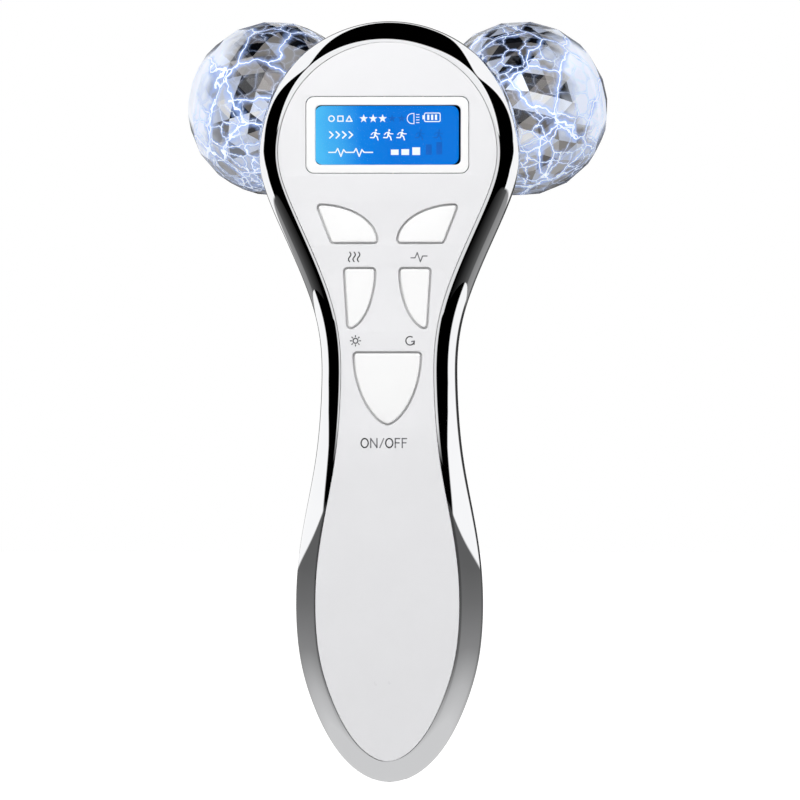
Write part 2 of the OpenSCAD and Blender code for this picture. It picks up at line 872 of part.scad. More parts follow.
module yoke_screws() {
    color(steel)
        for (a = yoke_screw_angles)
            translate([0, 0, hub_z])
                rotate([0, a, 0]) {
                    bar(yoke_screw_ring, 0, screw_head_r, flange_y - flange_t - screw_head_t,
                        flange_y - flange_t);
                    bar(yoke_screw_ring, 0, screw_r, flange_y - flange_t - 0.1,
                        flange_y + yoke_bite - 0.4);
                }
}

// ---- Rollers, each in its own frame with Z along the axle ----

reflector_gap = 0.4;
reflector_t = 1;
seat_r = ball_r - crystal_t - reflector_gap - 1 - reflector_t;      // inside the reflector
washer_t = 0.5;
clip_t = 0.5;
axle_end = seat_r - 0.6;
spool_end = axle_end - washer_t - clip_t - 1.4;                     // outer end of the spool
end_play = 0.1;

module axle(side) {
    groove = spool_end + end_play + washer_t;
    at_ball(side)
        difference() {
            translate([0, 0, axle_start - span])
                cylinder(r = axle_r, h = span - axle_start + axle_end);
            translate([0, 0, groove])
                difference() {
                    cylinder(r = axle_r + 1, h = clip_t);
                    translate([0, 0, -1])
                        cylinder(r = axle_r - 0.4, h = clip_t + 2);
                }
        }
}

module axle_washers() {
    color(steel)
        for (side = [-1, 1])
            at_ball(side)
                translate([0, 0, spool_end + end_play])
                    difference() {
                        cylinder(r = bush_r + 0.6, h = washer_t);
                        translate([0, 0, -1])
                            cylinder(r = axle_r + 0.05, h = 3);
                    }
}

module axle_clips() {
    color(steel)
        for (side = [-1, 1])
            at_ball(side)
                translate([0, 0, spool_end + end_play + washer_t])
                    difference() {
                        cylinder(r = axle_r + 1.3, h = clip_t);
                        translate([0, 0, -1])
                            cylinder(r = axle_r - 0.4, h = 3);
                        translate([-0.8, 0, -1])
                            cube([1.6, 9, 3]);
                    }
}

module roller_lamps() {
    color([0.5, 0.6, 1])
        for (side = [-1, 1])
            at_ball(side)
                translate([lamp_ring, 0, arm_end - span - 2])
                    cylinder(r = lamp_r, h = 2);
}

// Rings of facet corners from the equator to a pole: [latitude, number of corners, turn]
fine = facets;
coarse = facets / 2;
facet_rings = [[0, fine, 0], [22, fine, 0.5], [44, fine, 0], [66, coarse, 0.25]];
function ring_points(r, ring) = [for (k = [0 : ring[1] - 1])
    let (a = 360 * (k + ring[2]) / ring[1])
    [r * cos(ring[0]) * cos(a), r * cos(ring[0]) * sin(a), r * sin(ring[0])]];

// Half of a faceted ball, above its equator, closed by a flat face and ending in a point
module faceted_half(r) {
    rings = [for (g = facet_rings) ring_points(r, g)];
    n = fine;
    m = coarse;
    points = concat(rings[0], rings[1], rings[2], rings[3], [[0, 0, r], [0, 0, 0]]);
    pole = 3 * n + m;
    polyhedron(points, concat(
        [for (k = [0 : n - 1]) [pole + 1, k, (k + 1) % n]],
        [for (k = [0 : n - 1]) each [[k, n + k, (k + 1) % n],
                                     [(k + 1) % n, n + k, n + (k + 1) % n]]],
        [for (k = [0 : n - 1]) each [[n + k, 2 * n + (k + 1) % n, n + (k + 1) % n],
                                     [n + k, 2 * n + k, 2 * n + (k + 1) % n]]],
        [for (k = [0 : m - 1])
            let (a = 2 * n + 2 * k, b = 2 * n + 2 * k + 1, c = 2 * n + (2 * k + 2) % n,
                 p = 3 * n + k, q = 3 * n + (k + 1) % m)
            each [[a, p, b], [b, p, q], [b, q, c]]],
        [for (k = [0 : m - 1]) [3 * n + k, pole, 3 * n + (k + 1) % m]]));
}

spool_flange_r = 8;
spool_flange_t = 2;
spool_r = 5;

module crystal_outer(side) {
    at_ball(side)
        difference() {
            faceted_half(ball_r);
            sphere(r = ball_r - crystal_t);
        }
}

module crystal_inner(side) {
    at_ball(side)
        difference() {
            mirror([0, 0, 1])
                faceted_half(ball_r);
            sphere(r = ball_r - crystal_t);
            translate([0, 0, -ball_r - 1])
                cylinder(r = ball_r, h = ball_r + 1 - ball_flat);
            translate([0, 0, -ball_r - 1])
                cylinder(r = spool_flange_r + 0.05, h = ball_r);
        }
}

module reflector(side) {
    r = ball_r - crystal_t - reflector_gap;
    at_ball(side)
        difference() {
            union() {
                faceted_half(r);
                mirror([0, 0, 1])
                    faceted_half(r);
            }
            sphere(r = seat_r);
            translate([0, 0, -ball_r])
                cylinder(r = spool_r + 0.1, h = ball_r);
            // It sits on the spool's flange
            translate([0, 0, -ball_r])
                cylinder(r = spool_flange_r + 0.05, h = ball_r - ball_flat + spool_flange_t);
        }
}

module spool(side) {
    disc_t = 1.2;
    disc_r = sqrt(seat_r * seat_r - spool_end * spool_end) - 0.15;
    at_ball(side)
        translate([0, 0, -ball_flat])
            rotate_extrude()
                polygon([
                    [bush_r, 0], [spool_flange_r, 0], [spool_flange_r, spool_flange_t],
                    [spool_r, spool_flange_t], [spool_r, ball_flat + spool_end - disc_t],
                    [disc_r, ball_flat + spool_end - disc_t], [disc_r, ball_flat + spool_end],
                    [bush_r, ball_flat + spool_end], [bush_r, ball_flat + spool_end - bush_len],
                    [bush_r - 0.6, ball_flat + spool_end - bush_len],
                    [bush_r - 0.6, bush_len], [bush_r, bush_len]
                ]);
}

module bush(side, z) {
    at_ball(side)
        translate([0, 0, z])
            difference() {
                cylinder(r = bush_r, h = bush_len);
                translate([0, 0, -1])
                    cylinder(r = axle_r + axle_fit, h = bush_len + 2);
            }
}

// ---- Nodes ----

left = -1;
right = 1;

module vibration_button() color(white) button_cap("vibration");
module current_button() color(white) button_cap("current");
module light_button() color(white) button_cap("light");
module mode_button() color(white) button_cap("mode");
module power_button() color(white) button_cap("power");
module vibration_plunger() color(black) plunger("vibration");
module current_plunger() color(black) plunger("current");
module light_plunger() color(black) plunger("light");
module mode_plunger() color(black) plunger("mode");
module power_plunger() color(black) plunger("power");
module axle_left() color(steel) axle(left);
module crystal_inner_left() color(crystal) crystal_inner(left);
module crystal_outer_left() color(crystal) crystal_outer(left);
module reflector_left() color(steel) reflector(left);
module spool_left() color(nylon) spool(left);
module bush_inner_left() color(brass) bush(left, -ball_flat);
module bush_outer_left() color(brass) bush(left, spool_end - bush_len);
module axle_right() color(steel) axle(right);
module crystal_inner_right() color(crystal) crystal_inner(right);
module crystal_outer_right() color(crystal) crystal_outer(right);
module reflector_right() color(steel) reflector(right);
module spool_right() color(nylon) spool(right);
module bush_inner_right() color(brass) bush(right, -ball_flat);
module bush_outer_right() color(brass) bush(right, spool_end - bush_len);

rear_housing();
bezel_ring();
chassis();
face_plate();
display_frame();
display_lens();
display_gasket();
lcd_glass();
lcd_backlight();
lcd_pins();
main_board();
board_chips();
board_screws();
switch_bodies();
vibration_button();
current_button();
light_button();
mode_button();
power_button();
vibration_plunger();
current_plunger();
light_plunger();
mode_plunger();
power_plunger();
battery_cell();
battery_tape();
motor_can();
motor_shaft();
eccentric_weight();
charge_socket();
charge_board();
wiring();
case_screws();
yoke();
yoke_seal();
yoke_screws();
axle_left();
axle_right();
axle_washers();
axle_clips();
roller_lamps();
crystal_inner_left();
crystal_outer_left();
reflector_left();
spool_left();
bush_inner_left();
bush_outer_left();
crystal_inner_right();
crystal_outer_right();
reflector_right();
spool_right();
bush_inner_right();
bush_outer_right();
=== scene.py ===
"""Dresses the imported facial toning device: chrome case, pearl face, lit display and crystal rollers."""
import logging
import math
from dataclasses import dataclass, field
from enum import Enum
from typing import Iterable, Sequence

import bmesh
import bpy
from mathutils import Matrix, Vector
from mathutils.geometry import tessellate_polygon


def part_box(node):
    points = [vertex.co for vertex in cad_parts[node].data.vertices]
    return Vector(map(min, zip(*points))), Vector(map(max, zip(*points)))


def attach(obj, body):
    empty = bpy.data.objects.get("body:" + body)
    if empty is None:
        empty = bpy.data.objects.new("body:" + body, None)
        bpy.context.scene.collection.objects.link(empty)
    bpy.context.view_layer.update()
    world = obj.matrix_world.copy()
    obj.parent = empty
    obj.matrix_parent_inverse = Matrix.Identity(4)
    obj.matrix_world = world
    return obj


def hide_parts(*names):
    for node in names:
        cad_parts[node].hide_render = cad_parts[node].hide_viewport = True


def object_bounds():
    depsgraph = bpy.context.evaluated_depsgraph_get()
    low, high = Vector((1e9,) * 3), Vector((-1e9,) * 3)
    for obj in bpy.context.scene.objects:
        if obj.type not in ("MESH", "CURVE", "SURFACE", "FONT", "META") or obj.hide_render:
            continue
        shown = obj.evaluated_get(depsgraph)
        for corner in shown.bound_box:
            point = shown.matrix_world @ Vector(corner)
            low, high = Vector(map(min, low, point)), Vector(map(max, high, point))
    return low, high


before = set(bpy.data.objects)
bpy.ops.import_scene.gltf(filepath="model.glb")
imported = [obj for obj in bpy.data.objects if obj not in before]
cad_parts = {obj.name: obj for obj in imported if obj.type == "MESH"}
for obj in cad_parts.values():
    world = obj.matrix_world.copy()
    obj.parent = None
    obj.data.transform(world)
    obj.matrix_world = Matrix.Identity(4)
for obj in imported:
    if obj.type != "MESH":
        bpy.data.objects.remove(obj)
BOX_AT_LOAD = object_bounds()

LOG = logging.getLogger("toning_device")
MM = 0.001
SMOOTH_BEND = 18     # an outline's corner that bends less, in degrees, stays as it is
LONGEST_CUT = 1.6    # the most that rounding takes off a corner's sides, in millimetres

Point2 = tuple[float, float]
Point3 = tuple[float, float, float]
Colour = tuple[float, float, float]
Socket = bpy.types.NodeSocket
Value = bpy.types.NodeSocket | float


class Side(Enum):
    """Which of the two rollers, seen from the front."""

    LEFT = "left"
    RIGHT = "right"


class Key(Enum):
    """What the five buttons do."""

    VIBRATION = "vibration"
    CURRENT = "current"
    LIGHT = "light"
    MODE = "mode"
    POWER = "power"


class Kind(Enum):
    """What a pattern's named input carries."""

    FLOAT = "NodeSocketFloat"
    INT = "NodeSocketInt"
    VECTOR = "NodeSocketVector"
    MATERIAL = "NodeSocketMaterial"


# ---- Shading ----

def srgb(red: int, green: int, blue: int) -> Colour:
    """Turns a screen colour into the linear one that shaders take.

    Args:
        red: Red, 0 to 255.
        green: Green, 0 to 255.
        blue: Blue, 0 to 255.

    Returns:
        The linear colour.
    """
    def linear(value: int) -> float:
        """One channel, made linear."""
        c = value / 255
        return c / 12.92 if c <= 0.04045 else ((c + 0.055) / 1.055) ** 2.4
    return linear(red), linear(green), linear(blue)


class Nodes:
    """A node tree, with short calls for what finishes, patterns and the studio share."""

    def __init__(self, tree: bpy.types.NodeTree) -> None:
        """Takes the tree to build in."""
        self.tree = tree

    def node(self, kind: str, **settings: object) -> bpy.types.Node:
        """Adds a node and sets its plain settings.

        Args:
            kind: The node's type name.
            settings: Attributes to set on it.

        Returns:
            The node.
        """
        made = self.tree.nodes.new(kind)
        for key, value in settings.items():
            setattr(made, key, value)
        return made

    def link(self, source: Value, target: Socket) -> None:
        """Joins two sockets, or sets a plain number.

        Args:
            source: The socket to read, or the number.
            target: The socket that takes it.
        """
        if isinstance(source, (int, float)):
            target.default_value = source
        else:
            self.tree.links.new(source, target)

    def math(self, operation: str, first: Value, second: Value = 0.0, third: Value = 0.0) -> Socket:
        """Adds a sum of up to three values.

        Args:
            operation: The sum's name, such as ADD.
            first: The first value.
            second: The second value.
            third: The third value.

        Returns:
            The result's socket.
        """
        made = self.node("ShaderNodeMath", operation=operation)
        for value, socket in zip((first, second, third), made.inputs):
            self.link(value, socket)
        return made.outputs[0]

    def span(self, value: Socket, low: float, high: float, to_low: float, to_high: float,
             soft: bool = False) -> Socket:
        """Moves a value from one range to another, held at its ends.

        Args:
            value: The value to move.
            low: Where its range starts.
            high: Where its range ends.
            to_low: What the start becomes.
            to_high: What the end becomes.
            soft: Whether it eases in and out.

        Returns:
            The moved value's socket.
        """
        made = self.node("ShaderNodeMapRange", interpolation_type="SMOOTHSTEP" if soft else "LINEAR")
        for key, number in (("From Min", low), ("From Max", high), ("To Min", to_low), ("To Max", to_high)):
            made.inputs[key].default_value = number
        self.link(value, made.inputs["Value"])
        return made.outputs["Result"]

    def axes(self, vector: Socket) -> bpy.types.NodeOutputs:
        """Splits a vector.

        Args:
            vector: The vector.

        Returns:
            Its parts, by the names X, Y and Z.
        """
        made = self.node("ShaderNodeSeparateXYZ")
        self.link(vector, made.inputs[0])
        return made.outputs

    def choose(self, factor: Socket, first: Value, second: Value) -> Socket:
        """Goes from one value to another.

        Args:
            factor: The share of the second value.
            first: The value at 0.
            second: The value at 1.

        Returns:
            The result's socket.
        """
        made = self.node("ShaderNodeMix", data_type="FLOAT")
        for value, number in ((factor, 0), (first, 2), (second, 3)):
            self.link(value, made.inputs[number])
        return made.outputs[0]


class NodeSheet(Nodes):
    """A material's node tree, round one main shader."""

    def __init__(self, name: str) -> None:
        """Starts a sheet with one main shader.

        Args:
            name: The material's name.
        """
        self.material = bpy.data.materials.new(name)
        self.material.use_nodes = True
        super().__init__(self.material.node_tree)
        self.shader = self.tree.nodes["Principled BSDF"]

    def place(self, scale: Point3 = (1, 1, 1), turn: Point3 = (0, 0, 0)) -> Socket:
        """Gives the piece's own coordinates, stretched and turned.

        Args:
            scale: Factors along X, Y and Z.
            turn: Turns about X, Y and Z, in radians.

        Returns:
            The vector socket.
        """
        coords = self.node("ShaderNodeTexCoord")
        mapping = self.node("ShaderNodeMapping")
        mapping.inputs["Scale"].default_value = scale
        mapping.inputs["Rotation"].default_value = turn
        self.link(coords.outputs["Object"], mapping.inputs["Vector"])
        return mapping.outputs["Vector"]

    def noise(self, scale: float, detail: float = 3, rough: float = 0.5, warp: float = 0,
              vector: Socket | None = None) -> bpy.types.Node:
        """Adds a noise pattern in the piece's own coordinates.

        Args:
            scale: Cycles per metre.
            detail: Octaves.
            rough: How much the fine octaves show.
            warp: How much the pattern is bent by itself.
            vector: Where to read it, or the plain place.

        Returns:
            The noise node.
        """
        made = self.node("ShaderNodeTexNoise")
        made.inputs["Scale"].default_value = scale
        made.inputs["Detail"].default_value = detail
        made.inputs["Roughness"].default_value = rough
        made.inputs["Distortion"].default_value = warp
        self.link(vector or self.place(), made.inputs["Vector"])
        return made

    def ramp(self, value: Socket, stops: Sequence[tuple[float, Colour]],
             sharp: bool = False) -> Socket:
        """Turns a value into a colour along stops.

        Args:
            value: The value, 0 to 1.
            stops: Place and colour of each stop.
            sharp: Whether the stops change in steps.

        Returns:
            The colour socket.
        """
        made = self.node("ShaderNodeValToRGB")
        made.color_ramp.interpolation = "CONSTANT" if sharp else "LINEAR"
        elements = made.color_ramp.elements
        while len(elements) > 1:
            elements.remove(elements[-1])
        elements[0].position, elements[0].color = stops[0][0], (*stops[0][1], 1)
        for position, colour in stops[1:]:
            elements.new(position).color = (*colour, 1)
        self.link(value, made.inputs["Fac"])
        return made.outputs["Color"]

    def mix(self, factor: Socket, first: Socket | Colour, second: Socket | Colour) -> Socket:
        """Blends two colours by a factor.

        Args:
            factor: The share of the second colour.
            first: The colour below.
            second: The colour on top.

        Returns:
            The colour socket.
        """
        made = self.node("ShaderNodeMix", data_type="RGBA")
        self.link(factor, made.inputs[0])
        for source, target in ((first, made.inputs[6]), (second, made.inputs[7])):
            if isinstance(source, tuple):
                target.default_value = (*source, 1)
            else:
                self.link(source, target)
        return made.outputs[2]

    def bump(self, height: Socket, strength: float, depth: float) -> None:
        """Gives the shader a fine relief.

        Args:
            height: The relief's height, 0 to 1.
            strength: How strongly it shows.
            depth: Its height in metres.
        """
        made = self.node("ShaderNodeBump")
        made.inputs["Strength"].default_value = strength
        made.inputs["Distance"].default_value = depth
        self.link(height, made.inputs["Height"])
        self.link(made.outputs["Normal"], self.shader.inputs["Normal"])

    def set(self, **values: float | Colour) -> None:
        """Sets plain numbers and colours on the main shader.

        Args:
            values: Values by socket name, with _ for a blank.
        """
        for key, value in values.items():
            socket = self.shader.inputs[key.replace("_", " ")]
            socket.default_value = (*value, 1) if isinstance(value, tuple) else value

    def feed(self, name: str, source: Socket) -> None:
        """Links a pattern into the main shader's socket of that name."""
        self.link(source, self.shader.inputs[name])


@dataclass(frozen=True)
class Plated:
    """Bright plating with faint polishing haze."""

    name: str
    colour: Colour
    haze: float = 0.035

    def build(self) -> bpy.types.Material:
        """Makes the material.

        Returns:
            The material.
        """
        sheet = NodeSheet(self.name)
        sheet.set(Metallic=1.0)
        cloud = sheet.noise(35, 4, 0.6)
        sheet.feed("Base Color", sheet.ramp(cloud.outputs["Fac"], [
            (0.3, tuple(c * 0.965 for c in self.colour)), (0.7, self.colour)]))
        sheet.feed("Roughness", sheet.span(cloud.outputs["Fac"], 0.3, 0.75, self.haze * 0.5, self.haze))
        fine = sheet.noise(2600, 2, 0.5)
        sheet.bump(fine.outputs["Fac"], 0.03, 0.00002)
        return sheet.material


@dataclass(frozen=True)
class Moulded:
    """Moulded or lacquered plastic: a base colour with faint mottling and moulding texture."""

    name: str
    colour: Colour
    rough: float = 0.35
    coat: float = 0.0
    mottle: float = 0.05
    grain: float = 900
    relief: float = 0.00003
    flake: float = 0.0

    def build(self) -> bpy.types.Material:
        """Makes the material.

        Returns:
            The material.
        """
        sheet = NodeSheet(self.name)
        sheet.set(Coat_Weight=self.coat, Coat_Roughness=0.06, Metallic=self.flake)
        cloud = sheet.noise(60, 5, 0.6)
        dark = tuple(c * (1 - self.mottle) for c in self.colour)
        colour = sheet.ramp(cloud.outputs["Fac"], [(0.35, dark), (0.65, self.colour)])
        grit = sheet.noise(self.grain * 6, 2, 0.6)
        speck = sheet.span(grit.outputs["Fac"], 0.3, 0.7, 0.0, self.mottle)
        sheet.feed("Base Color", sheet.mix(speck, colour, tuple(c * 0.8 for c in self.colour)))
        sheet.feed("Roughness", sheet.span(cloud.outputs["Fac"], 0.3, 0.7, self.rough * 0.85,
                                           min(1.0, self.rough * 1.15)))
        grain = sheet.noise(self.grain, 3, 0.6)
        sheet.bump(grain.outputs["Fac"], 0.25, self.relief)
        return sheet.material


@dataclass(frozen=True)
class Turned:
    """Turned, drawn or brushed metal: fine lines along one direction."""

    name: str
    colour: Colour
    rough: float = 0.3

    def build(self) -> bpy.types.Material:
        """Makes the material.

        Returns:
            The material.
        """
        sheet = NodeSheet(self.name)
        sheet.set(Metallic=1.0)
        lines = sheet.noise(900, 4, 0.65, vector=sheet.place(scale=(1, 1, 0.04)))
        stain = sheet.noise(70, 4, 0.6)
        sheet.feed("Base Color", sheet.ramp(stain.outputs["Fac"], [
            (0.3, tuple(c * 0.82 for c in self.colour)), (0.7, self.colour)]))
        sheet.feed("Roughness", sheet.span(lines.outputs["Fac"], 0.3, 0.7, self.rough * 0.7,
                                           self.rough * 1.3))
        sheet.bump(lines.outputs["Fac"], 0.3, 0.00002)
        return sheet.material


@dataclass(frozen=True)
class Circuit:
    """Printed board: solder mask with tracks in two directions and bright pads."""

    name: str
    colour: Colour = (0.02, 0.12, 0.06)

    def build(self) -> bpy.types.Material:
        """Makes the material.

        Returns:
            The material.
        """
        sheet = NodeSheet(self.name)
        sheet.set(Coat_Weight=0.3, Coat_Roughness=0.2)
        cells = sheet.node("ShaderNodeTexVoronoi", distance="CHEBYCHEV")
        cells.inputs["Scale"].default_value = 520
        sheet.link(sheet.place(), cells.inputs["Vector"])
        pads = sheet.span(cells.outputs["Distance"], 0.12, 0.14, 1.0, 0.0)
        tracks = sheet.node("ShaderNodeTexBrick")
        tracks.inputs["Scale"].default_value = 260
        tracks.inputs["Mortar Size"].default_value = 0.06
        sheet.link(sheet.place(turn=(math.pi / 2, 0, 0)), tracks.inputs["Vector"])
        light = tuple(min(1.0, c * 2.2) for c in self.colour)
        colour = sheet.mix(tracks.outputs["Fac"], self.colour, light)
        sheet.feed("Base Color", sheet.mix(pads, colour, (0.75, 0.68, 0.4)))
        sheet.feed("Metallic", pads)
        sheet.feed("Roughness", sheet.span(pads, 0, 1, 0.42, 0.3))
        return sheet.material


@dataclass(frozen=True)
class Clear:
    """Clear glass or crystal with a faint tint and hairline haze."""

    name: str
    tint: Colour = (1.0, 1.0, 1.0)
    bend: float = 1.46
    gloss: float = 0.0

    def build(self) -> bpy.types.Material:
        """Makes the material.

        Returns:
            The material.
        """
        sheet = NodeSheet(self.name)
        sheet.set(Transmission_Weight=1.0, IOR=self.bend, Coat_Weight=self.gloss, Coat_IOR=1.5)
        cloud = sheet.noise(120, 3, 0.5)
        sheet.feed("Base Color", sheet.ramp(cloud.outputs["Fac"], [
            (0.3, tuple(c * 0.985 for c in self.tint)), (0.7, self.tint)]))
        sheet.feed("Roughness", sheet.span(cloud.outputs["Fac"], 0.55, 0.8, 0.0, 0.02))
        return sheet.material


@dataclass(frozen=True)
class Picture:
    """The lit display: blue, paler to the left, with a faint grid of dots."""

    name: str
    left: Colour = srgb(84, 200, 255)
    middle: Colour = srgb(4, 134, 236)
    right: Colour = srgb(0, 122, 228)
    width: float = 32 * MM
    glow: float = 1.0

    def build(self) -> bpy.types.Material:
        """Makes the material.

        Returns:
            The material.
        """
        sheet = NodeSheet(self.name)
        across = sheet.axes(sheet.place(scale=(1 / self.width,) * 3))["X"]
        cloud = sheet.noise(160, 4, 0.6)
        place = sheet.math("ADD", sheet.math("ADD", across, 0.5),
                           sheet.span(cloud.outputs["Fac"], 0.3, 0.7, -0.03, 0.03))
        colour = sheet.ramp(place, [(0.0, self.left), (0.32, self.middle), (0.55, self.right),
                                    (1.0, self.right)])
        dots = sheet.node("ShaderNodeTexVoronoi", feature="F1")
        dots.inputs["Scale"].default_value = 4200
        dots.inputs["Randomness"].default_value = 0.0
        sheet.link(sheet.place(), dots.inputs["Vector"])
        lit = sheet.span(dots.outputs["Distance"], 0.2, 0.6, 0.0, 0.1)
        colour = sheet.mix(lit, colour, (0.0, 0.05, 0.3))
        sheet.feed("Emission Color", colour)
        sheet.set(Base_Color=(0.0, 0.004, 0.012), Emission_Strength=self.glow, Roughness=0.4,
                  Specular_IOR_Level=0.1)
        return sheet.material


@dataclass(frozen=True)
class Lit:
    """A glowing mark or lamp, uneven as a lamp behind a film is."""

    name: str
    colour: Colour
    glow: float = 0.9
    body: float = 0.1

    def build(self) -> bpy.types.Material:
        """Makes the material.

        Returns:
            The material.
        """
        sheet = NodeSheet(self.name)
        cloud = sheet.noise(420, 3, 0.5)
        colour = sheet.ramp(cloud.outputs["Fac"], [
            (0.3, tuple(c * 0.93 for c in self.colour)), (0.65, self.colour)])
        sheet.feed("Emission Color", colour)
        sheet.set(Base_Color=tuple(c * self.body for c in self.colour), Emission_Strength=self.glow,
                  Roughness=0.4, Specular_IOR_Level=0.2)
        return sheet.material


@dataclass(frozen=True)
class Foil:
    """The rollers' faceted foil: each facet has its own tone, partly painted shade, with pale clouds of
    painted light and jagged arcs, and the whole foil glows as painted light though it is no lamp.
    """

    name: str
    # The colour of the mist of painted light.
    cloud: Colour = srgb(232, 240, 255)
    halo: Colour = srgb(150, 178, 236)
    core: Colour = srgb(240, 247, 255)

    def build(self) -> bpy.types.Material:
        """Makes the material.

        Returns:
            The material.
        """
        sheet = NodeSheet(self.name)
        # Painted shade and light: each facet's tone is partly random and partly set by which way the facet
        # faces.
        tone_and_painted_shade = sheet.node("ShaderNodeAttribute", attribute_name="tone_and_painted_shade")
        facet = sheet.ramp(tone_and_painted_shade.outputs["Fac"], [
            (0.0, srgb(6, 8, 14)), (0.16, srgb(52, 52, 56)), (0.26, srgb(112, 108, 106)),
            (0.38, srgb(150, 146, 142)), (0.5, srgb(184, 182, 182)), (0.62, srgb(206, 214, 232)),
            (0.76, srgb(232, 238, 250)), (0.88, srgb(255, 255, 255))], sharp=True)
        drift = sheet.noise(48, 3, 0.55, 0.4)
        # Painted light: a white mist, partly random puffs and partly strongest at the outer edge above the
        # middle, makes the foil paler where the light falls.
        painted_light_veil = sheet.node("ShaderNodeAttribute", attribute_name="painted_light_veil")
        puffs = sheet.span(drift.outputs["Fac"], 0.4, 0.62, -0.3, 0.3)
        painted_light_mist = sheet.math("ADD", puffs, painted_light_veil.outputs["Fac"])
        painted_light_mist = sheet.span(painted_light_mist, 0.2, 0.6, 0.0, 0.95)
        colour = sheet.mix(painted_light_mist, facet, self.cloud)
        wide, thin = self.arcs(sheet, 82, 0.085, 0.0125)
        wide_fine, thin_fine = self.arcs(sheet, 240, 0.13, 0.026)
        where = sheet.span(drift.outputs["Fac"], 0.42, 0.55, 0.15, 0.9)
        wide_fine = sheet.math("MULTIPLY", wide_fine, where)
        thin_fine = sheet.math("MULTIPLY", thin_fine, where)
        halo = sheet.math("MULTIPLY", sheet.math("MAXIMUM", wide, wide_fine), 0.8)
        core = sheet.math("MAXIMUM", thin, thin_fine)
        colour = sheet.mix(core, sheet.mix(halo, colour, self.halo), self.core)
        sheet.feed("Base Color", colour)
        # Painted light: the foil glows in its own colour though it is no lamp, a little everywhere and most
        # at the arcs and the mist.
        sheet.feed("Emission Color", colour)
        glow = sheet.math("MAXIMUM", core, sheet.math("MAXIMUM", sheet.math("MULTIPLY", halo, 0.55),
                                                      sheet.math("MULTIPLY", painted_light_mist, 0.4)))
        sheet.feed("Emission Strength", sheet.span(glow, 0, 1, 0.22, 0.9))
        sheet.feed("Metallic", sheet.span(glow, 0, 0.5, 0.3, 0.0))
        sheet.feed("Roughness", sheet.span(drift.outputs["Fac"], 0.3, 0.7, 0.14, 0.32))
        return sheet.material

    @staticmethod
    def arcs(sheet: NodeSheet, scale: float, wide: float, thin: float) -> tuple[Socket, Socket]:
        """Adds a web of jagged arcs.

        Args:
            sheet: The sheet to add to.
            scale: Cells per metre.
            wide: Width of an arc's halo, as a share of a cell.
            thin: Width of its core, as a share of a cell.

        Returns:
            The halo's strength and the core's, 0 to 1.
        """
        place = sheet.place()
        for cycles, reach in ((scale * 1.7, 0.36), (scale * 5.0, 0.13)):
            bend = sheet.noise(cycles, 2, 0.6)
            shift = sheet.node("ShaderNodeVectorMath", operation="MULTIPLY_ADD")
            sheet.link(bend.outputs["Color"], shift.inputs[0])
            shift.inputs[1].default_value = (reach / scale,) * 3
            sheet.link(place, shift.inputs[2])
            place = shift.outputs[0]
        web = sheet.node("ShaderNodeTexVoronoi", feature="DISTANCE_TO_EDGE")
        web.inputs["Scale"].default_value = scale
        sheet.link(place, web.inputs["Vector"])
        distance = web.outputs["Distance"]
        halo = sheet.span(distance, thin, wide, 1.0, 0.0)
        core = sheet.span(distance, thin * 0.4, thin, 1.0, 0.0)
        return halo, core


# ---- Mesh helpers ----

def plain_object(name: str, verts: Sequence[Point3], faces: Sequence[Sequence[int]],
                 material: bpy.types.Material) -> bpy.types.Object:
    """Makes a mesh object of points and faces just as they are given.

    Args:
        name: The object's name.
        verts: Points in metres.
        faces: Point numbers of each face.
        material: Its finish.

    Returns:
        The object, linked to the scene.
    """
    mesh = bpy.data.meshes.new(name)
    mesh.from_pydata([tuple(v) for v in verts], [], [tuple(f) for f in faces])
    mesh.materials.append(material)
    made = bpy.data.objects.new(name, mesh)
    bpy.context.scene.collection.objects.link(made)
    return made


def new_object(name: str, verts: Sequence[Point3], faces: Sequence[Sequence[int]],
               material: bpy.types.Material, angle: float = 35) -> bpy.types.Object:
    """Makes a mesh object with smooth shading that breaks at sharp edges.

    Args:
        name: The object's name.
        verts: Points in metres.
        faces: Point numbers of each face.
        material: Its finish.
        angle: Edges sharper than this, in degrees, stay hard.

    Returns:
        The object, linked to the scene.
    """
    made = plain_object(name, verts, faces, material)
    tidy(made, angle)
    return made


def tidy(piece: bpy.types.Object, angle: float = 35, outward: bool = True) -> None:
    """Merges doubles, points the faces outwards and sets the shading.

    Args:
        piece: The object to tidy.
        angle: Edges sharper than this, in degrees, stay hard.
        outward: Whether the normals are worked out anew.
    """
    work = bmesh.new()
    work.from_mesh(piece.data)
    bmesh.ops.remove_doubles(work, verts=work.verts, dist=1e-7)
    if outward:
        bmesh.ops.recalc_face_normals(work, faces=work.faces)
    work.to_mesh(piece.data)
    work.free()
    piece.data.polygons.foreach_set("use_smooth", [True] * len(piece.data.polygons))
    piece.data.set_sharp_from_angle(angle=math.radians(angle))
    piece.data.update()


def baked(piece: bpy.types.Object) -> bpy.types.Object:
    """Turns an object with modifiers, or a curve, into a plain mesh of the same name.

    Args:
        piece: The object to turn into a mesh.

    Returns:
        The plain object.
    """
    depsgraph = bpy.context.evaluated_depsgraph_get()
    mesh = bpy.data.meshes.new_from_object(piece.evaluated_get(depsgraph), depsgraph=depsgraph)
    name = piece.name
    mesh.transform(piece.matrix_world)
    bpy.data.objects.remove(piece)
    mesh.name = name
    made = bpy.data.objects.new(name, mesh)
    bpy.context.scene.collection.objects.link(made)
    return made


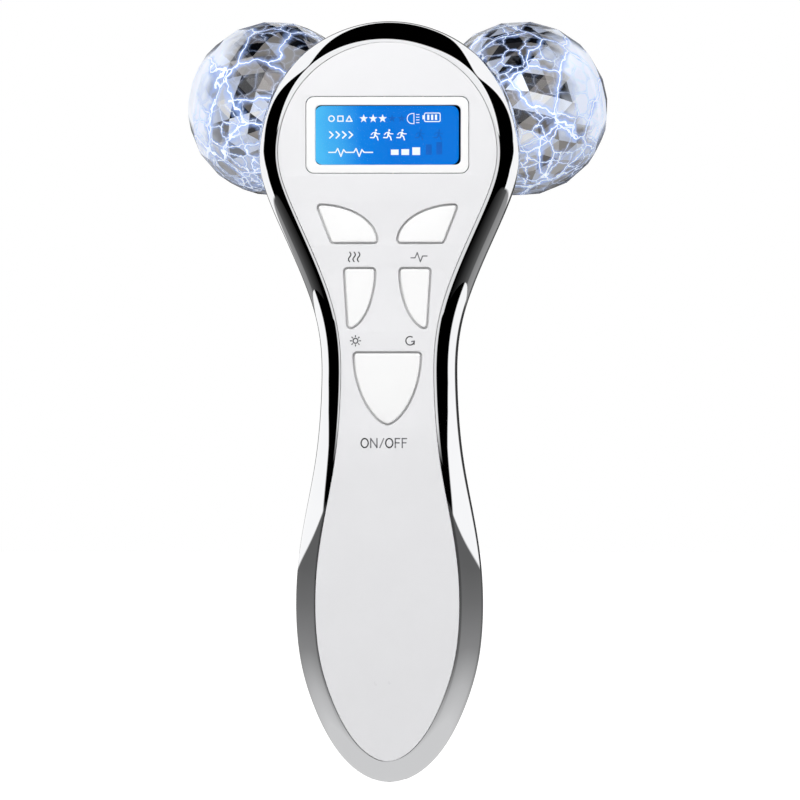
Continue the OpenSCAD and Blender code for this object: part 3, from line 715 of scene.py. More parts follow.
def cut(piece: bpy.types.Object, low: Point3, high: Point3, angle: float = 35) -> bpy.types.Object:
    """Cuts a block out of a closed piece.

    Args:
        piece: The piece to cut.
        low: The block's lowest corner, in metres.
        high: The block's highest corner, in metres.
        angle: Edges sharper than this, in degrees, stay hard.

    Returns:
        The cut piece.
    """
    corners = [(x, y, z) for x in (low[0], high[0]) for y in (low[1], high[1]) for z in (low[2], high[2])]
    faces = [(0, 1, 3, 2), (4, 6, 7, 5), (0, 4, 5, 1), (2, 3, 7, 6), (0, 2, 6, 4), (1, 5, 7, 3)]
    material = piece.data.materials[0]
    tool = new_object(piece.name + "_cutter", corners, faces, material)
    step = piece.modifiers.new("cut", "BOOLEAN")
    step.operation, step.solver, step.object = "DIFFERENCE", "EXACT", tool
    made = baked(piece)
    bpy.data.objects.remove(tool)
    made.data.materials.clear()
    made.data.materials.append(material)
    tidy(made, angle, outward=False)
    return made


def plate(name: str, loops: Sequence[Sequence[Point2]], front: float, back: float, edge: float,
          material: bpy.types.Material) -> bpy.types.Object:
    """Makes a flat plate with rounded edges from loops in X and Z; a loop inside another is a hole.

    Args:
        name: The object's name.
        loops: Closed outlines in millimetres, the outer one first.
        front: Y of the front face, in millimetres.
        back: Y of the back face, in millimetres.
        edge: Radius of the rounded edges, in millimetres.
        material: Its finish.

    Returns:
        The plate.
    """
    levels = [(edge * (1 - math.sin(a)), front + edge * (1 - math.cos(a))) for a in quarter_turn(4)]
    levels += [(d, front + back - y) for d, y in reversed(levels)]
    verts: list[Point3] = []
    faces: list[Sequence[int]] = []
    ends: dict[int, list[list[int]]] = {0: [], len(levels) - 1: []}
    for number, loop in enumerate(loops):
        ring = list(loop) if signed_area(loop) > 0 else list(reversed(loop))
        n, start = len(ring), len(verts)
        for inset, y in levels:
            moved = grown(ring, -inset if number == 0 else inset)
            verts += [(x * MM, y * MM, z * MM) for x, z in moved]
        for level in range(len(levels) - 1):
            a, b = start + level * n, start + (level + 1) * n
            faces += [(a + k, a + (k + 1) % n, b + (k + 1) % n, b + k) for k in range(n)]
        for level, rings in ends.items():
            rings.append([start + level * n + k for k in range(n)])
    for rings in ends.values():
        index = [i for ring in rings for i in ring]
        flat = [[Vector((verts[i][0], verts[i][2], 0)) for i in ring] for ring in rings]
        faces += [tuple(index[i] for i in tri) for tri in tessellate_polygon(flat)]
    return new_object(name, verts, faces, material, 50)


def prism(points: Sequence[Point2], front: float, back: float) -> tuple[list[Point3], list[list[int]]]:
    """Makes the points and faces of a thin plate with any outline in X and Z.

    Args:
        points: The outline in millimetres.
        front: Y of the front face, in millimetres.
        back: Y of the back face, in millimetres.

    Returns:
        Points in metres, and faces.
    """
    n = len(points)
    verts = [(x * MM, y * MM, z * MM) for y in (front, back) for x, z in points]
    faces = [list(range(n)), list(range(2 * n - 1, n - 1, -1))]
    faces += [[i, i + n, (i + 1) % n + n, (i + 1) % n] for i in range(n)]
    return verts, faces


def lathe(profile: Sequence[Point2], steps: int, place: Matrix) -> tuple[list[Vector], list[list[int]]]:
    """Turns a closed profile of radius and height about an axis.

    Args:
        profile: Radius and height of each point, in millimetres.
        steps: Points round the axis.
        place: Puts the turned shape in the part's frame.

    Returns:
        Points in metres, and faces.
    """
    n = len(profile)
    verts = [place @ Vector((r * math.cos(a), r * math.sin(a), h)) * MM
             for a in (2 * math.pi * k / steps for k in range(steps)) for r, h in profile]
    faces = [[k * n + j, (k + 1) % steps * n + j, (k + 1) % steps * n + (j + 1) % n, k * n + (j + 1) % n]
             for k in range(steps) for j in range(n)]
    return verts, faces


def flat_piece(name: str, shapes: Iterable[Sequence[Point2]], front: float, back: float,
               material: bpy.types.Material) -> bpy.types.Object:
    """Makes one object of many thin flat plates.

    Args:
        name: The object's name.
        shapes: Their outlines in millimetres.
        front: Y of their front faces, in millimetres.
        back: Y of their back faces, in millimetres.
        material: Their finish.

    Returns:
        The object.
    """
    verts: list[Point3] = []
    faces: list[list[int]] = []
    for shape in shapes:
        loop = list(shape) if signed_area(shape) > 0 else list(reversed(shape))
        more, sides = prism(loop, front, back)
        faces += [[k + len(verts) for k in side] for side in sides]
        verts += more
    return plain_object(name, verts, faces, material)


def joined(first: bpy.types.Object, others: Sequence[bpy.types.Object]) -> bpy.types.Object:
    """Adds the meshes of some objects to the first and removes them.

    Args:
        first: The object that stays.
        others: The objects that it takes in.

    Returns:
        The first object.
    """
    work = bmesh.new()
    work.from_mesh(first.data)
    for other in others:
        work.from_mesh(other.data)
        bpy.data.objects.remove(other)
    work.to_mesh(first.data)
    work.free()
    first.data.update()
    return first


# ---- Outlines in millimetres, X to the right and Z up ----

def quarter_turn(steps: int) -> list[float]:
    """Even angles from nought to a quarter turn, in radians."""
    return [math.radians(90 * k / steps) for k in range(steps + 1)]


def disc(x: float, z: float, r: float, steps: int = 28) -> list[Point2]:
    """A round mark."""
    return [(x + r * math.cos(2 * math.pi * k / steps), z + r * math.sin(2 * math.pi * k / steps))
            for k in range(steps)]


def block(x: float, z: float, w: float, h: float) -> list[Point2]:
    """An upright rectangle by its centre and size."""
    return [(x - w / 2, z - h / 2), (x + w / 2, z - h / 2), (x + w / 2, z + h / 2), (x - w / 2, z + h / 2)]


def stroke(points: Sequence[Point2], width: float, closed: bool = False) -> list[list[Point2]]:
    """Draws a line of even width as one quad for each stretch, with round joints.

    Args:
        points: The line's points in millimetres.
        width: The line's width.
        closed: Whether the last point joins the first.

    Returns:
        Flat outlines.
    """
    out: list[list[Point2]] = []
    pairs = list(zip(points, list(points[1:]) + [points[0]] if closed else points[1:]))
    for (x1, z1), (x2, z2) in pairs:
        length = math.hypot(x2 - x1, z2 - z1) or 1.0
        dx, dz = (x2 - x1) / length * width / 2, (z2 - z1) / length * width / 2
        out.append([(x1 + dz, z1 - dx), (x2 + dz, z2 - dx), (x2 - dz, z2 + dx), (x1 - dz, z1 + dx)])
    out += [disc(x, z, width / 2, 12) for x, z in points]
    return out


def arc(x: float, z: float, r: float, start: float, end: float, steps: int = 20) -> list[Point2]:
    """Points along an arc, its angles in degrees."""
    return [(x + r * math.cos(math.radians(start + (end - start) * k / steps)),
             z + r * math.sin(math.radians(start + (end - start) * k / steps))) for k in range(steps + 1)]


def star(x: float, z: float, r: float) -> list[Point2]:
    """A five-pointed star."""
    return [(x + (r if k % 2 == 0 else r * 0.42) * math.sin(math.pi * k / 5),
             z + (r if k % 2 == 0 else r * 0.42) * math.cos(math.pi * k / 5)) for k in range(10)]


def runner(x: float, z: float, size: float) -> list[list[Point2]]:
    """A small running figure of plain strokes, facing right.

    Args:
        x: Its middle.
        z: Its middle.
        size: Its height.

    Returns:
        Flat outlines.
    """
    def at(points: Sequence[Point2]) -> list[Point2]:
        """Scales and places points of the figure."""
        return [(x + px * size, z + pz * size) for px, pz in points]
    wide = 0.12 * size
    return [disc(x + 0.08 * size, z + 0.46 * size, 0.1 * size),
            *stroke(at([(0.02, 0.24), (-0.03, -0.04)]), wide * 1.6),
            *stroke(at([(0.03, 0.25), (0.2, 0.1), (0.44, 0.1)]), wide * 0.8),
            *stroke(at([(0.0, 0.25), (-0.24, 0.2), (-0.4, 0.02)]), wide * 0.8),
            *stroke(at([(-0.03, -0.06), (0.17, -0.16), (0.27, -0.5)]), wide),
            *stroke(at([(-0.03, -0.06), (-0.14, -0.28), (-0.48, -0.27)]), wide)]


def mirrored(points: Iterable[Point2]) -> list[Point2]:
    """The same outline on the other side of the middle."""
    return [(-x, z) for x, z in points]


def rounded_block(x: float, z: float, w: float, h: float, r: float, steps: int = 10) -> list[Point2]:
    """A rectangle with round corners.

    Args:
        x: Its middle.
        z: Its middle.
        w: Its width.
        h: Its height.
        r: The corners' radius.
        steps: Points on a corner, less one.

    Returns:
        The outline.
    """
    out: list[Point2] = []
    for sx, sz, start in ((1, 1, 0), (-1, 1, 90), (-1, -1, 180), (1, -1, 270)):
        out += arc(x + sx * (w / 2 - r), z + sz * (h / 2 - r), r, start, start + 90, steps)
    return out


def scatter(number: float) -> float:
    """A fixed value between 0 and 1 for a number, as if by chance."""
    return (math.sin(number) * 43758.5453) % 1.0


def signed_area(points: Sequence[Point2]) -> float:
    """Area of a loop, positive if it runs anticlockwise."""
    return sum(x1 * z2 - x2 * z1 for (x1, z1), (x2, z2) in zip(points, [*points[1:], points[0]])) / 2


def rounded(points: Sequence[Point2], r: float) -> list[Point2]:
    """Rounds a loop's sharp corners to a radius and leaves its smooth stretches alone.

    Args:
        points: The loop.
        r: The corners' radius.

    Returns:
        The rounded loop, anticlockwise.
    """
    loop = [Vector(p) for p in points]
    loop = [p for i, p in enumerate(loop) if (p - loop[i - 1]).length > 1e-4]
    if signed_area([tuple(p) for p in loop]) < 0:
        loop.reverse()
    cuts: dict[int, float] = {}
    for i, p in enumerate(loop):
        angle = (loop[i - 1] - p).angle(loop[(i + 1) % len(loop)] - p)
        if math.pi - angle >= math.radians(SMOOTH_BEND):
            cuts[i] = min(LONGEST_CUT, r / math.tan(max(0.25, angle / 2)))
    return fillet(loop, cuts)


def fillet(loop: list[Vector], cuts: dict[int, float]) -> list[Point2]:
    """Replaces corners of a loop by curves like arcs.

    Args:
        loop: The loop's points.
        cuts: How far from the corner each curve starts, by the corner's number.

    Returns:
        The loop with its corners rounded.
    """
    n, steps = len(loop), 8

    def walk(start: int, step: int, distance: float) -> Vector:
        """Finds the point at a distance along the loop from a corner.

        Args:
            start: The corner's number.
            step: 1 to go on, -1 to go back.
            distance: How far to go.

        Returns:
            The point.
        """
        here, left, i = loop[start], distance, start
        while True:
            there = loop[(i + step) % n]
            length = (there - here).length
            if length >= left:
                return here + (there - here) * (left / length)
            left, here, i = left - length, there, i + step

    out: list[Point2] = []
    for i, corner in enumerate(loop):
        if i in cuts:
            start, end = walk(i, -1, cuts[i]), walk(i, 1, cuts[i])
            for t in (k / steps for k in range(steps + 1)):
                q = (1 - t) ** 2 * start + 2 * t * (1 - t) * corner + t * t * end
                out.append((q.x, q.y))
        elif all((corner - loop[c]).length > cut * 1.02 for c, cut in cuts.items()):
            out.append((corner.x, corner.y))
    return out


def grown(points: Sequence[Point2], distance: float) -> list[Point2]:
    """Moves a rounded, anticlockwise loop outward.

    Args:
        points: The loop.
        distance: How far each point moves.

    Returns:
        The wider loop.
    """
    n, out = len(points), []
    for i in range(n):
        a, b = Vector(points[i - 1]), Vector(points[(i + 1) % n])
        d = (b - a).normalized()
        out.append((points[i][0] + d.y * distance, points[i][1] - d.x * distance))
    return out


# ---- The case's shape, by the same named values as the solids ----

@dataclass(frozen=True)
class Outline:
    """The case's outline: a closed smooth curve through named points, in millimetres."""

    body_len: float = 170.0
    head_r: float = 29.3
    neck_r: float = 15.2
    neck_z: float = 89.0
    grip_r: float = 20.6
    grip_z: float = 40.0
    toe_r: float = 10.8
    toe_z: float = 6.0

    @property
    def head_z(self) -> float:
        """Height of the head's centre."""
        return self.body_len - self.head_r

    def knots(self) -> list[Point2]:
        """Places the named points.

        Returns:
            The points, from the top down the right side and up the left.
        """
        right: list[Point2] = [(0.0, self.body_len)]
        right += [(self.head_r * math.cos(a), self.head_z + self.head_r * math.sin(a))
                  for a in map(math.radians, (60, 30, 0, -30))]
        right += [(self.neck_r + 1.9, self.neck_z + 17), (self.neck_r, self.neck_z),
                  (self.neck_r + 1.1, self.neck_z - 15), (self.grip_r - 2.1, self.grip_z + 21.4),
                  (self.grip_r, self.grip_z + 7.4), (self.grip_r, self.grip_z - 7.5),
                  (self.grip_r - 2.8, (self.grip_z + self.toe_z) / 2 - 3.6), (self.toe_r, self.toe_z),
                  (0.0, 0.0)]
        return right + [(-x, z) for x, z in right[-2:0:-1]]

    def curve(self, steps: int) -> tuple[list[Point2], list[Point2]]:
        """Samples the curve.

        Args:
            steps: Samples between two named points.

        Returns:
            The points, and the outward direction at each.
        """
        knots = self.knots()
        n = len(knots)
        ctrl = [Vector(k) for k in knots]
        for _ in range(12):
            ctrl = [ctrl[i] + Vector(knots[i]) - (ctrl[i - 1] + 4 * ctrl[i] + ctrl[(i + 1) % n]) / 6
                    for i in range(n)]
        points, outs = [], []
        for i in range(n):
            a, b, c, d = ctrl[i - 1], ctrl[i], ctrl[(i + 1) % n], ctrl[(i + 2) % n]
            for k in range(steps):
                t = k / steps
                p = ((1 - t) ** 3 * a + (3 * t ** 3 - 6 * t * t + 4) * b
                     + (1 + 3 * t + 3 * t * t - 3 * t ** 3) * c + t ** 3 * d) / 6
                s = (-(1 - t) ** 2 * a + (3 * t * t - 4 * t) * b
                     + (1 + 2 * t - 3 * t * t) * c + t * t * d) / 2
                points.append((p.x, p.y))
                outs.append((-s.y / s.length, s.x / s.length))
        return points, outs

    def inset(self, distance: float, steps: int) -> list[Point2]:
        """The outline moved inward."""
        return [(x - distance * ox, z - distance * oz) for (x, z), (ox, oz) in zip(*self.curve(steps))]


@dataclass(frozen=True)
class RearDepth:
    """How deep the rear case is along its middle, in millimetres."""

    outline: Outline = Outline()
    head_d: float = 10.0
    neck_d: float = 11.5
    grip_d: float = 16.0
    heel_d: float = 13.0
    heel_z: float = 16.0
    end: float = 0.9985

    def at(self, z: float, wall: float) -> float:
        """Depth at a height, on the outer surface or a wall's thickness inside it.

        Args:
            z: Height.
            wall: Distance inside the outer surface.

        Returns:
            The depth.
        """
        shape = self.outline

        def ease(t: float) -> float:
            """A soft step from 0 to 1."""
            u = min(max(t, 0.0), 1.0)
            return u * u * (3 - 2 * u)

        def between(z0: float, d0: float, z1: float, d1: float) -> float:
            """Eases from one depth to the next."""
            return d0 + (d1 - d0) * ease((z - z0) / (z1 - z0))

        if z > shape.neck_z:
            spine = between(shape.neck_z, self.neck_d, shape.head_z, self.head_d)
        elif z > shape.grip_z:
            spine = between(shape.grip_z, self.grip_d, shape.neck_z, self.neck_d)
        else:
            spine = between(0, self.heel_d, shape.grip_z, self.grip_d)
        u = 0.0
        if z > shape.head_z:
            u = (z - shape.head_z) / (shape.head_r - wall)
        elif z < self.heel_z:
            u = (self.heel_z - z) / (self.heel_z - wall)
        return (spine - wall) * math.sqrt(1 - min(u, self.end) ** 2)


@dataclass
class Finishes:
    """Every material, made once."""

    made: dict[str, bpy.types.Material] = field(default_factory=dict)

    def __post_init__(self) -> None:
        """Builds each finish."""
        for finish in (
            Plated("chrome", (0.93, 0.935, 0.95)),
            Moulded("pearl_plate", srgb(236, 236, 238), 0.32, 0.25, 0.02, 1400, 0.00001),
            Moulded("white_gloss", srgb(250, 250, 250), 0.22, 0.4, 0.01, 700, 0.00001),
            Moulded("white_matte", srgb(232, 232, 232), 0.6),
            Moulded("nylon", srgb(214, 214, 208), 0.55, grain=500),
            Moulded("black_rubber", srgb(26, 26, 28), 0.62, grain=1200, relief=0.00005),
            Moulded("black_plastic", srgb(30, 30, 32), 0.45),
            Moulded("yellow_tape", srgb(226, 196, 60), 0.35),
            Moulded("red_wire", srgb(188, 28, 28), 0.4),
            Moulded("battery_can", srgb(50, 78, 150), 0.3, 0.3),
            Moulded("grey_ink", srgb(128, 128, 132), 0.55, mottle=0.08),
            Turned("steel", (0.62, 0.63, 0.65), 0.28),
            Turned("brass", (0.72, 0.52, 0.24), 0.26),
            Circuit("circuit_green"),
            Clear("clear_window", (0.97, 0.985, 1.0), 1.05),
            Clear("crystal", (0.985, 0.99, 1.0), 1.24, 1.0),
            Picture("display_blue"),
            Lit("lamp_blue", srgb(150, 176, 255), 0.5),
            Lit("lit_mark", srgb(246, 252, 255), 0.95),
            Lit("dim_mark", srgb(0, 96, 193), 1.0),
            Foil("silver_foil"),
        ):
            self.made[finish.name] = finish.build()

    def __getitem__(self, name: str) -> bpy.types.Material:
        """The material of that name."""
        return self.made[name]


# ---- Geometry Nodes ----

class Pattern(Nodes):
    """A Geometry Nodes tree with named inputs, made in the script and turned into a plain mesh."""

    def __init__(self, name: str) -> None:
        """Starts an empty tree.

        Args:
            name: The tree's name.
        """
        super().__init__(bpy.data.node_groups.new(name, "GeometryNodeTree"))
        for way in ("INPUT", "OUTPUT"):
            self.tree.interface.new_socket("Geometry", in_out=way, socket_type="NodeSocketGeometry")
        self.source = self.node("NodeGroupInput")
        self.result = self.node("NodeGroupOutput")
        self.values: dict[str, object] = {}

    def number(self, name: str, kind: Kind, value: object) -> Socket:
        """Adds a named input.

        Args:
            name: The input's name.
            kind: What it carries.
            value: Its value.

        Returns:
            The socket that carries it.
        """
        item = self.tree.interface.new_socket(name, in_out="INPUT", socket_type=kind.value)
        self.values[item.identifier] = value
        return self.source.outputs[name]

    def finish(self, geometry: Socket, name: str, material: bpy.types.Material,
               base: bpy.types.Mesh | None = None) -> bpy.types.Object:
        """Ends the tree in Realize Instances and Set Material, runs it and keeps the plain mesh.

        Args:
            geometry: The tree's last geometry.
            name: The object's name.
            material: Its finish.
            base: The mesh that the tree starts from, if it needs one.

        Returns:
            The plain object.
        """
        finish = self.number("Finish", Kind.MATERIAL, material)
        real = self.node("GeometryNodeRealizeInstances")
        paint = self.node("GeometryNodeSetMaterial")
        self.link(geometry, real.inputs[0])
        self.link(real.outputs[0], paint.inputs["Geometry"])
        self.link(finish, paint.inputs["Material"])
        self.link(paint.outputs[0], self.result.inputs[0])
        made = bpy.data.objects.new(name, base or bpy.data.meshes.new(name))
        bpy.context.scene.collection.objects.link(made)
        step = made.modifiers.new("pattern", "NODES")
        step.node_group = self.tree
        for identifier, value in self.values.items():
            step[identifier] = value
        bpy.context.view_layer.update()
        plain = baked(made)
        plain.data.materials.clear()
        plain.data.materials.append(material)
        return plain


# ---- Sub-assemblies ----

def carry(piece: bpy.types.Object, body: str, slot: str, *nodes: str) -> bpy.types.Object:
    """Hangs a finished piece on its body, hides the solids that it replaces and logs its faces.

    Args:
        piece: The finished piece.
        body: The body that it rides on.
        slot: Not used.
        nodes: The solids that it replaces.

    Returns:
        The piece.
    """
    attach(piece, body)
    if nodes:
        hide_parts(*nodes)
    LOG.info("%s: %d faces on %s", piece.name, len(piece.data.polygons), body)
    return piece


def dress(finishes: Finishes, wear: dict[str, str]) -> None:
    """Gives solids that keep their own shape their finish.

    Args:
        finishes: Every finish.
        wear: The finish of each solid, by the solid's name.
    """
    for name, finish in wear.items():
        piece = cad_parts[name]
        piece.data.materials.clear()
        piece.data.materials.append(finishes[finish])
    LOG.info("dressed: %s", ", ".join(wear))


@dataclass
class Case:
    """The chrome case: the rear housing and the bezel ring."""

    finishes: Finishes
    outline: Outline = Outline()
    depth: RearDepth = RearDepth()
    wall: float = 2.0
    front_d: float = 7.5
    bezel_w: float = 4.7
    ledge_w: float = 2.0
    ledge_y: float = -5.0
    ledge_t: float = 1.2
    seam: float = 0.1
    slot_w: float = 7.8
    slot_h: float = 3.0
    slot_depth: float = 3.4
    rim_cut: float = 0.12
    lap: float = 1.0
    lap_rise: float = 1.2
    steps: int = 14
    dome_steps: int = 56
    bend_steps: int = 26

    def build(self) -> None:
        """Makes and carries both halves."""
        carry(self.rear(), "case", "chrome", "rear_housing")
        carry(self.bezel(), "case", "chrome", "bezel_ring")

    def slot_cut(self, piece: bpy.types.Object) -> bpy.types.Object:
        """Cuts the charging slot through a half."""
        return cut(piece, (-self.slot_w / 2 * MM, -self.slot_h / 2 * MM, -MM),
                   (self.slot_w / 2 * MM, self.slot_h / 2 * MM, self.slot_depth * MM))

    def rear(self) -> bpy.types.Object:
        """Makes the rear housing: an outer and an inner dome joined at the rim.

        Returns:
            The housing.
        """
        cols = self.dome_steps
        verts: list[Point3] = []
        grids: list[list[list[int]]] = []
        for wall, lift in ((0.0, self.seam), (self.wall, 0.0)):
            loop = self.outline.inset(wall, self.steps)
            half = len(loop) // 2
            grid: list[list[int]] = []
            for i in range(half + 1):
                x, z = loop[i]
                depth = self.depth.at(z, wall)
                row = []
                for j in range(cols + 1):
                    a = math.pi * j / cols
                    if i in (0, half):
                        row.append(len(verts) if j == 0 else row[0])
                        if j == 0:
                            verts.append((0.0, lift * MM, z * MM))
                        continue
                    row.append(len(verts))
                    verts.append((x * math.cos(a) * MM, max(depth * math.sin(a), lift) * MM, z * MM))
                grid.append(row)
            grids.append(grid)
        faces: list[list[int]] = []
        for grid in grids:
            for upper, lower in zip(grid, grid[1:]):
                for j in range(cols):
                    face = [upper[j], upper[j + 1], lower[j + 1], lower[j]]
                    faces.append(list(dict.fromkeys(face)))
        outer, inner = grids
        for j in (0, cols):
            for i in range(len(outer) - 1):
                face = [outer[i][j], outer[i + 1][j], inner[i + 1][j], inner[i][j]]
                faces.append(list(dict.fromkeys(face)))
        made = new_object("rear_case", verts, faces, self.finishes["chrome"], 50)
        return self.slot_cut(made)

    def bezel(self) -> bpy.types.Object:
        """Makes the bezel ring: one profile carried round the outline.

        Returns:
            The ring.
        """
        back = self.ledge_y + self.ledge_t
        quarter = [(self.bezel_w * (1 - math.cos(a)), -self.front_d * math.sin(a))
                   for a in quarter_turn(self.bend_steps)]
        profile = [(self.rim_cut, 0.0), (0.0, -self.rim_cut)] + quarter[1:]
        profile += [(self.bezel_w, self.ledge_y), (self.bezel_w + self.ledge_w, self.ledge_y),
                    (self.bezel_w + self.ledge_w, back), (self.wall + self.lap, back),
                    (self.wall, back + self.lap_rise), (self.wall, 0.0)]
        loops = {d: self.outline.inset(d, self.steps) for d in {p[0] for p in profile}}
        count, n = len(loops[0.0]), len(profile)
        verts = [(loops[d][i][0] * MM, y * MM, loops[d][i][1] * MM)
                 for i in range(count) for d, y in profile]
        faces: list[list[int]] = []
        for here, there in ((i * n, (i + 1) % count * n) for i in range(count)):
            faces += [[here + j, here + (j + 1) % n, there + (j + 1) % n, there + j] for j in range(n)]
        made = new_object("bezel", verts, faces, self.finishes["chrome"], 40)
        return self.slot_cut(made)


@dataclass(frozen=True)
class Surround:
    """The size and place of the display's white surround, in millimetres."""

    w: float = 36.3
    h: float = 17.0
    r: float = 1.8
    z: float = Outline().head_z + 3.8


@dataclass
class Panel:
    """The face plate, its printed marks and its buttons."""

    finishes: Finishes
    outline: Outline = Outline()
    surround: Surround = Surround()
    bezel_w: float = 4.7
    rim_gap: float = 0.1
    rim_steps: int = 14
    plate_y: float = -7.48
    plate_back: float = -6.5
    gap: float = 0.45
    edge: float = 0.16
    wing_drop: float = 20.1
    wing_x: float = 15.6
    wing_w: float = 13.2
    wing_h: float = 8.2
    wing_foot: float = 3.2
    fin_drop: float = 6.0
    fin_x: float = 9.5
    fin_w: float = 6.6
    fin_h: float = 13.1
    fin_stretch: float = 1.02
    fin_foot: float = 0.8
    shield_drop: float = 5.7
    shield_w: float = 14.7
    shield_h: float = 15.7
    shield_power: float = 0.66
    side_steps: int = 40
    fin_steps: int = 33
    corner: float = 0.7
    surround_gap: float = 0.12
    cap_back: float = -5.9
    cap_edge: float = 0.34
    lip: float = 0.7
    skirt_y: float = -6.38
    skirt_back: float = -5.82
    skirt_edge: float = 0.1
    stem_y: float = -5.83
    stem_r: float = 1.3
    stem_core: float = 0.02
    ink_y: float = -7.495
    ink_back: float = -7.47
    ink_w: float = 0.26
    wave_drop: float = 23.4
    lamp_drop: float = 42.1
    power_drop: float = 64.9

    def __post_init__(self) -> None:
        """Works out the places that follow from the head's height."""
        self.wing_z = self.outline.head_z - self.wing_drop
        self.fin_z = self.wing_z - self.fin_drop
        self.shield_z = self.fin_z - self.fin_h - self.shield_drop
        self.shapes = {
            Key.VIBRATION: self.wing(), Key.CURRENT: mirrored(self.wing()),
            Key.LIGHT: self.fin(), Key.MODE: mirrored(self.fin()), Key.POWER: self.shield()}

    def wing(self) -> list[Point2]:
        """Draws the upper left button: a quarter ellipse whose outer side leans in towards its foot.

        Returns:
            Its outline.
        """
        x, z = -self.wing_x, self.wing_z
        curve = [(x + self.wing_w * math.cos(t), z + self.wing_h * math.sin(t))
                 for t in (math.pi / 2 * k / self.side_steps for k in range(self.side_steps + 1))]
        return [(x + self.wing_foot, z)] + curve

    def fin(self) -> list[Point2]:
        """Draws the middle left button: a quarter ellipse that hangs from its straight upper edge.

        Returns:
            Its outline.
        """
        x, z = -self.fin_x, self.fin_z
        curve = [(x + self.fin_w * math.cos(t), z - self.fin_h * self.fin_stretch * math.sin(t))
                 for t in (math.pi / 2 * k / self.side_steps for k in range(self.fin_steps + 1))]
        return curve + [(x + self.fin_foot, z - self.fin_h), (x, z)]

    def shield(self) -> list[Point2]:
        """Draws the lower button: a straight upper edge and convex sides that meet at the foot.

        Returns:
            Its outline.
        """
        side = [(self.shield_w / 2 * (1 - u * u) ** self.shield_power, self.shield_z - self.shield_h * u)
                for u in (k / self.side_steps for k in range(self.side_steps + 1))]
        return side + mirrored(side[-2::-1])

    def build(self) -> None:
        """Makes the plate, the marks and the buttons."""
        rim = self.outline.inset(self.bezel_w + self.rim_gap, self.rim_steps)
        holes = [grown(rounded(shape, self.corner), self.gap) for shape in self.shapes.values()]
        around = 2 * self.surround_gap
        window = rounded_block(0, self.surround.z, self.surround.w + around, self.surround.h + around,
                               self.surround.r)
        made = plate("face_panel", [rim, window, *holes], self.plate_y, self.plate_back, self.edge,
                     self.finishes["pearl_plate"])
        carry(made, "case", "pearl_plate", "face_plate")
        carry(self.marks(), "case", "grey_ink")
        for key, shape in self.shapes.items():
            self.button(key.value, rounded(shape, self.corner))

    def button(self, name: str, shape: list[Point2]) -> None:
        """Makes one button: a glossy cap on a matte skirt with its stem.

        Args:
            name: What the button does.
            shape: The cap's outline.
        """
        low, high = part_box(name + "_button")
        cap = plate(name + "_cap", [shape], low[1] / MM, self.cap_back, self.cap_edge,
                    self.finishes["white_gloss"])
        carry(cap, name + "_key", "white_gloss", name + "_button")
        skirt = plate(name + "_skirt", [grown(shape, self.lip)], self.skirt_y, self.skirt_back,
                      self.skirt_edge, self.finishes["white_matte"])
        foot, core, r = high[1] / MM, self.stem_core, self.stem_r
        profile = [(core, self.stem_y), (r, self.stem_y), (r, foot), (core, foot)]
        x, z = self.stem_at(name)
        place = Matrix.Translation((x, 0, z)) @ Matrix.Rotation(-math.pi / 2, 4, "X")
        verts, faces = lathe(profile, 24, place)
        stem = new_object(name + "_stem", verts, faces, self.finishes["white_matte"])
        carry(joined(skirt, [stem]), name + "_key", "white_matte")

    def stem_at(self, name: str) -> Point2:
        """Where a button's stem stands: the middle of its plunger."""
        low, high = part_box(name + "_plunger")
        return (low[0] + high[0]) / 2 / MM, (low[2] + high[2]) / 2 / MM

    def marks(self) -> bpy.types.Object:
        """Makes the printed marks under the buttons, as thin plates of ink.

        Returns:
            The marks.
        """
        head = self.outline.head_z
        wave_z, lamp_z, w = head - self.wave_drop, head - self.lamp_drop, self.ink_w
        shapes: list[list[Point2]] = []
        # Vibration: three upright waves.
        for k in (-1, 0, 1):
            shapes += stroke([(-7.4 + k * 1.0 + 0.28 * math.sin(t * math.pi * 2), wave_z + 1.05 - 2.1 * t)
                              for t in (i / 12 for i in range(13))], w)
        # Current: a pulse.
        shapes += stroke([(5.3, wave_z - 0.2), (6.2, wave_z - 0.2), (6.7, wave_z + 0.95),
                          (7.4, wave_z - 1.05), (7.9, wave_z + 0.2), (8.9, wave_z + 0.2)], w)
        # Light: a lamp with eight rays.
        shapes += stroke(arc(-7.1, lamp_z, 0.55, 0, 360, 16), w)
        for k in range(8):
            a = math.pi / 4 * k
            shapes += stroke([(-7.1 + r * math.cos(a), lamp_z + r * math.sin(a)) for r in (0.9, 1.15)], w)
        # Mode: a turning arrow.
        shapes += stroke(arc(5.1, lamp_z, 0.95, 60, 350, 18), w)
        shapes += stroke([(6.0, lamp_z - 0.75), (6.05, lamp_z - 0.05), (5.45, lamp_z - 0.15)], w)
        shapes += self.on_off(-0.85, head - self.power_drop, w + 0.03)
        return flat_piece("printed_marks", shapes, self.ink_y, self.ink_back, self.finishes["grey_ink"])

    @staticmethod
    def on_off(x: float, z: float, w: float) -> list[list[Point2]]:
        """The words ON and OFF with a slash between, in plain strokes.

        Args:
            x: Middle of the words.
            z: Middle of their height.
            w: Width of a stroke.

        Returns:
            Flat outlines.
        """
        h, out = 1.0, []

        def ring(cx: float) -> list[list[Point2]]:
            """The letter O."""
            return stroke([(cx + 0.8 * math.cos(t), z + h * math.sin(t))
                           for t in (math.pi * k / 12 for k in range(24))], w, True)

        out += ring(x - 4.2)
        out += stroke([(x - 2.85, z - h), (x - 2.85, z + h), (x - 1.45, z - h), (x - 1.45, z + h)], w)
        out += stroke([(x - 0.8, z - h), (x + 0.05, z + h)], w * 0.9)
        out += ring(x + 1.3)
        for left in (x + 2.65, x + 4.2):
            out += stroke([(left + 0.98, z + h), (left, z + h), (left, z - h)], w)
            out += stroke([(left, z + 0.05), (left + 0.84, z + 0.05)], w)
        return out


